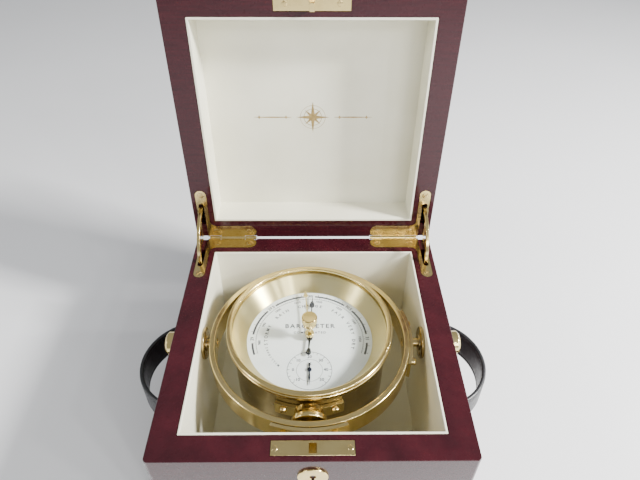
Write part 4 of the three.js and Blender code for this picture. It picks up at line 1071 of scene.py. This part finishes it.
def arched_word(word, radius, middle_deg, size):
    """A word whose letters stand along an arc about the dial's centre."""
    step = size * 0.98 / radius * 180 / pi
    start = middle_deg - step * (len(word) - 1) / 2
    return [lettering(letter, size, clock_place(radius, start + i * step), start + i * step)
            for i, letter in enumerate(word) if letter != " "]


def tick(inner, outer, width, clockwise_deg, centre=(0, 0)):
    line = [(-width / 2, inner), (width / 2, inner), (width / 2, outer), (-width / 2, outer)]
    mark = prism(line, DIAL_TOP, DIAL_TOP + INK)
    turn = Matrix.Translation((*centre, 0)) @ about_z(-clockwise_deg)
    return moved(mark, turn)


def printed_arc(radius, width, from_deg, to_deg, centre=(0, 0)):
    steps = max(3, ceil(abs(to_deg - from_deg) / 2))
    band = flat_ring(radius, width, DIAL_TOP, DIAL_TOP + INK, 90 - to_deg, 90 - from_deg, steps)
    return moved(band, Matrix.Translation((*centre, 0)))


def pressure_scale():
    """Inches outside a black arc, millibars inside it."""
    marks = []
    label_degs = [i * DEG_PER_HALF_INCH for i in range(-2, 3)]
    breaks = [deg + side * LABEL_GAP_DEG for deg in label_degs for side in (-1, 1)]
    edges = [-SCALE_END_DEG, *breaks, SCALE_END_DEG]
    for start, end in zip(edges[::2], edges[1::2]):
        marks.append(printed_arc(SCALE_RADIUS, SCALE_WIDTH, start, end))
    for i, deg in enumerate(label_degs):
        label = f"{29 + i / 2:g}"
        marks.append(lettering(label, INCH_LABEL_SIZE, clock_place(INCH_LABEL_RADIUS, deg), deg))
        for tenth in range(1, 5):
            spot = deg + tenth * DEG_PER_HALF_INCH / 5
            if spot < SCALE_END_DEG:
                marks.append(tick(*INCH_TICK, INCH_TICK_WIDTH, spot))
    marks.append(printed_arc(MB_LINE_RADIUS, MB_LINE_WIDTH, -SCALE_END_DEG, SCALE_END_DEG))
    for mb in range(975, 1058):
        deg = dial_deg(mb)
        if abs(deg) > SCALE_END_DEG:
            continue
        length = MB_TICK_TEN if mb % 10 == 0 else MB_TICK_FIVE if mb % 5 == 0 else MB_TICK_ONE
        marks.append(tick(MB_TICK_START, MB_TICK_START + length, MB_TICK_WIDTH, deg))
        if mb % 10 == 0:
            marks.append(lettering(str(mb), MB_LABEL_SIZE, clock_place(MB_LABEL_RADIUS, deg), deg))
    return marks


def thermometer_scale():
    centre = (0, THERMOMETER_Y)
    marks = [printed_arc(CELSIUS_OUTER, 0.3, 0, FULL_TURN_DEG, centre),
             printed_arc(CELSIUS_INNER, 0.2, 0, FULL_TURN_DEG, centre)]
    for i in range(-13, 14):
        start, width = (13.9, 0.22) if i % 2 else (13.2, 0.36)
        marks.append(tick(start, CELSIUS_OUTER, width, i * CELSIUS_STEP_DEG, centre))
    for i in range(-6, 7, 2):
        place = clock_place(CELSIUS_LABEL_RADIUS, i * 2 * CELSIUS_STEP_DEG, centre)
        marks.append(lettering(str(20 + i * 5), CELSIUS_LABEL_SIZE, place))
    marks.append(lettering("°C", 2.4, (0, THERMOMETER_Y + 5.2)))
    return marks


def build_print():
    marks = pressure_scale() + thermometer_scale()
    for word, deg in WORDS:
        marks += arched_word(word, WORD_RADIUS, deg, WORD_SIZE)
    marks += arched_word("MILLIBARS", WORD_RADIUS, UNIT_DEG, UNIT_SIZE)
    marks.append(lettering("BAROMETER", 5.2, (0, 11.2), spacing=1.3))
    marks.append(lettering("COMPENSATED", 2.6, (0, 5.4), spacing=1.35))
    piece("dial_print", moved(merged(marks), AT_CENTRE), DIAL_INK, "bowl", sharp_deg=20)


# ---------- pointers ----------


def pointer(outline, low, high, hub_radius, hub_low, hub_high):
    """A flat pointer along +Y, from half of its outline, with a domed hub."""
    right = [Vector(point) for point in outline]
    left = [Vector((-x, y)) for x, y in reversed(outline)]
    blade = prism(right + left, low, high)
    hub = turned(soft([(0, hub_low), (hub_radius, hub_low, 0.15), (hub_radius, hub_high, 0.4),
                       (0, hub_high)]), 48)
    return joined(blade, hub)


def half_pear(low, high, radius, neck):
    """The right half of a pear shape from one distance to another, with its fat end at the first."""
    steps = 12
    points = []
    for i in range(steps + 1):
        share = i / steps
        swell = sin(pi * share ** 0.62) ** 0.75 * radius
        points.append((max(neck, swell), low + (high - low) * share))
    return points


def set_hand():
    tip = mm_box("set_hand")[1].y - CENTRE.y
    outline = [(0.5, -3), (0.42, 34), (0.5, 35.4), (1.9, 35.9), (1.2, 38.2), (0.08, tip)]
    hand = pointer(outline, SET_HAND_Z, SET_HAND_Z + HAND_THICK, SET_HUB_RADIUS, SET_HAND_Z, SET_HAND_Z + 2.4)
    return moved(hand, AT_CENTRE @ about_z(SET_HAND_DEG))


def pressure_hand():
    tail = [(x, -16 + y) for x, y in half_pear(0, 6.6, 1.75, 0.3)]
    spade = [(x, 26.6 + y) for x, y in half_pear(0, 6.8, 1.8, 0.32)]
    shaft = [(0.55, -9), (0.8, -2), (0.8, 2), (0.5, 8), (0.42, 26.2)]
    outline = [*tail, *shaft, *spade, (0.34, 34), (0.07, PRESSURE_REACH)]
    hand = pointer(outline, PRESSURE_HAND_Z, PRESSURE_HAND_Z + HAND_THICK, PRESSURE_HUB_RADIUS,
                   PRESSURE_HAND_Z - 0.6, PRESSURE_HAND_Z + 1.6)
    arbor = turned(soft([
        (0, -15), (0.8, -15), (0.8, -6.5), (2.8, -6.5, 0.2), (2.8, -3.5, 0.2), (0.8, -3.5),
        (0.8, PRESSURE_HAND_Z), (0, PRESSURE_HAND_Z)]), 32)
    return moved(joined(hand, arbor), AT_CENTRE @ about_z(PRESSURE_HAND_DEG))


def thermometer_hand():
    z = DIAL_TOP + 0.6
    outline = [(0.75, -5), (0.55, -3.6), (0.3, -2), (0.36, 2), (0.62, 6.4), (0.3, 8.6), (0.06, 11.9)]
    hand = pointer(outline, z, z + HAND_THICK, THERMOMETER_HUB_RADIUS, z - 0.2, z + 0.9)
    arbor = cylinder(0.6, -7, z, 24)
    turn = Matrix.Translation((0, THERMOMETER_Y, 0)) @ about_z(180)
    return moved(joined(hand, arbor), AT_CENTRE @ turn)


def knob():
    """The set hand's knob: a waisted neck under a disc with a milled edge and a dished top."""
    foot = GLASS_TOP + GAP
    body = turned(soft([
        (0, SET_HAND_Z + 2.7), (1.2, SET_HAND_Z + 2.7), (1.2, foot), (KNOB_NECK, foot, 0.3),
        (KNOB_NECK, foot + 0.9, 0.3), (KNOB_NECK - 0.9, foot + 1.8, 0.6), (KNOB_NECK - 0.7, foot + 2.9, 0.5),
        (KNOB_RADIUS, foot + 4.1, 0.5), (KNOB_RADIUS, KNOB_TOP, 0.7), (KNOB_RADIUS - 1.1, KNOB_TOP, 0.3),
        (0, KNOB_TOP - 0.35)]), 96)
    notches = []
    for i in range(KNOB_NOTCHES):
        place = polar(KNOB_RADIUS + 0.02, i * 360 / KNOB_NOTCHES)
        notch = cylinder(0.16, foot + 4.6, KNOB_TOP - 0.9, 6)
        notches.append(moved(notch, Matrix.Translation((*place, 0))))
    return moved(cut(body, *notches), AT_CENTRE)


def build_pointers():
    piece("setting_knob", knob(), BRASS, "set_pointer", ["set_knob"])
    piece("setting_hand", set_hand(), BRASS, "set_pointer", ["set_hand"], bevel=0.1)
    piece("barometer_hand", pressure_hand(), BLUED, "pressure_pointer", ["pressure_hand"],
          bevel=0.1)
    piece("temperature_hand", thermometer_hand(), BLUED, "thermometer_pointer", ["thermometer_hand"],
          bevel=0.08)


# ---------- stage ----------

EYE = Vector((0.00168, -0.23986, 0.39662))
PITCH_DEG, YAW_DEG, ROLL_DEG = 40.94, 0.66, 0.32
LENS = 30.22


def build_camera():
    data = bpy.data.cameras.new("camera")
    data.sensor_width = 36
    data.lens = LENS
    data.clip_start = 0.01
    pitch, yaw, roll = radians(PITCH_DEG), radians(YAW_DEG), radians(ROLL_DEG)
    forward = Vector((sin(yaw) * cos(pitch), cos(yaw) * cos(pitch), -sin(pitch)))
    level = Vector((cos(yaw), -sin(yaw), 0))
    upward = level.cross(forward)
    across = level * cos(roll) + upward * sin(roll)
    up = upward * cos(roll) - level * sin(roll)
    camera = linked("camera", data)
    columns = Matrix((across, up, -forward)).transposed().to_4x4()
    camera.matrix_world = Matrix.Translation(EYE) @ columns
    bpy.context.scene.camera = camera


def area_light(name, place, target, size, power, colour=(1, 1, 1)):
    data = bpy.data.lights.new(name, "AREA")
    data.shape = "RECTANGLE"
    data.size, data.size_y = size
    data.energy = power
    data.color = colour
    light = linked(name, data)
    aim = (Vector(place) - Vector(target)).to_track_quat("Z", "Y")
    light.matrix_world = Matrix.Translation(place) @ aim.to_matrix().to_4x4()


LAMP_DEGS = (25, 195, 300, 310, 323, 346)
LAMP_REACH, LAMP_HEIGHT, LAMP_SIZE, LAMP_POWER = 1.0, 0.85, 0.05, 2.2


def build_stage():
    shape = bmesh.new()
    bmesh.ops.create_grid(shape, x_segments=8, y_segments=8, size=3)
    table = linked("table_top", mesh_of("table_top", shape))
    table.data.materials.append(TABLE)
    world = bpy.data.worlds.new("room")
    world.use_nodes = True
    background = world.node_tree.nodes["Background"]
    background.inputs["Color"].default_value = (0.93, 0.96, 1.0, 1)
    background.inputs["Strength"].default_value = 0.42
    bpy.context.scene.world = world
    middle = (0, 0, 0.09)
    area_light("right_key", (1.0, -0.2, 0.85), middle, (0.18, 0.18), 50, (1, 0.99, 0.97))
    area_light("front_softbox", (0.45, -1.4, 0.75), middle, (1.0, 0.3), 11, (1, 0.99, 0.98))
    area_light("left_softbox", (-1.2, -0.4, 0.8), middle, (0.4, 0.6), 4, (1, 0.98, 0.95))
    for deg in LAMP_DEGS:
        spot = polar(LAMP_REACH, deg)
        area_light(f"ceiling_lamp_{deg}", (*spot, LAMP_HEIGHT), middle, (LAMP_SIZE, LAMP_SIZE), LAMP_POWER)


build_camera()
build_stage()
build_case()
build_mark()
build_hinges()
build_lock()
build_handles()
build_gimbals()
build_bowl()
build_print()
build_pointers()
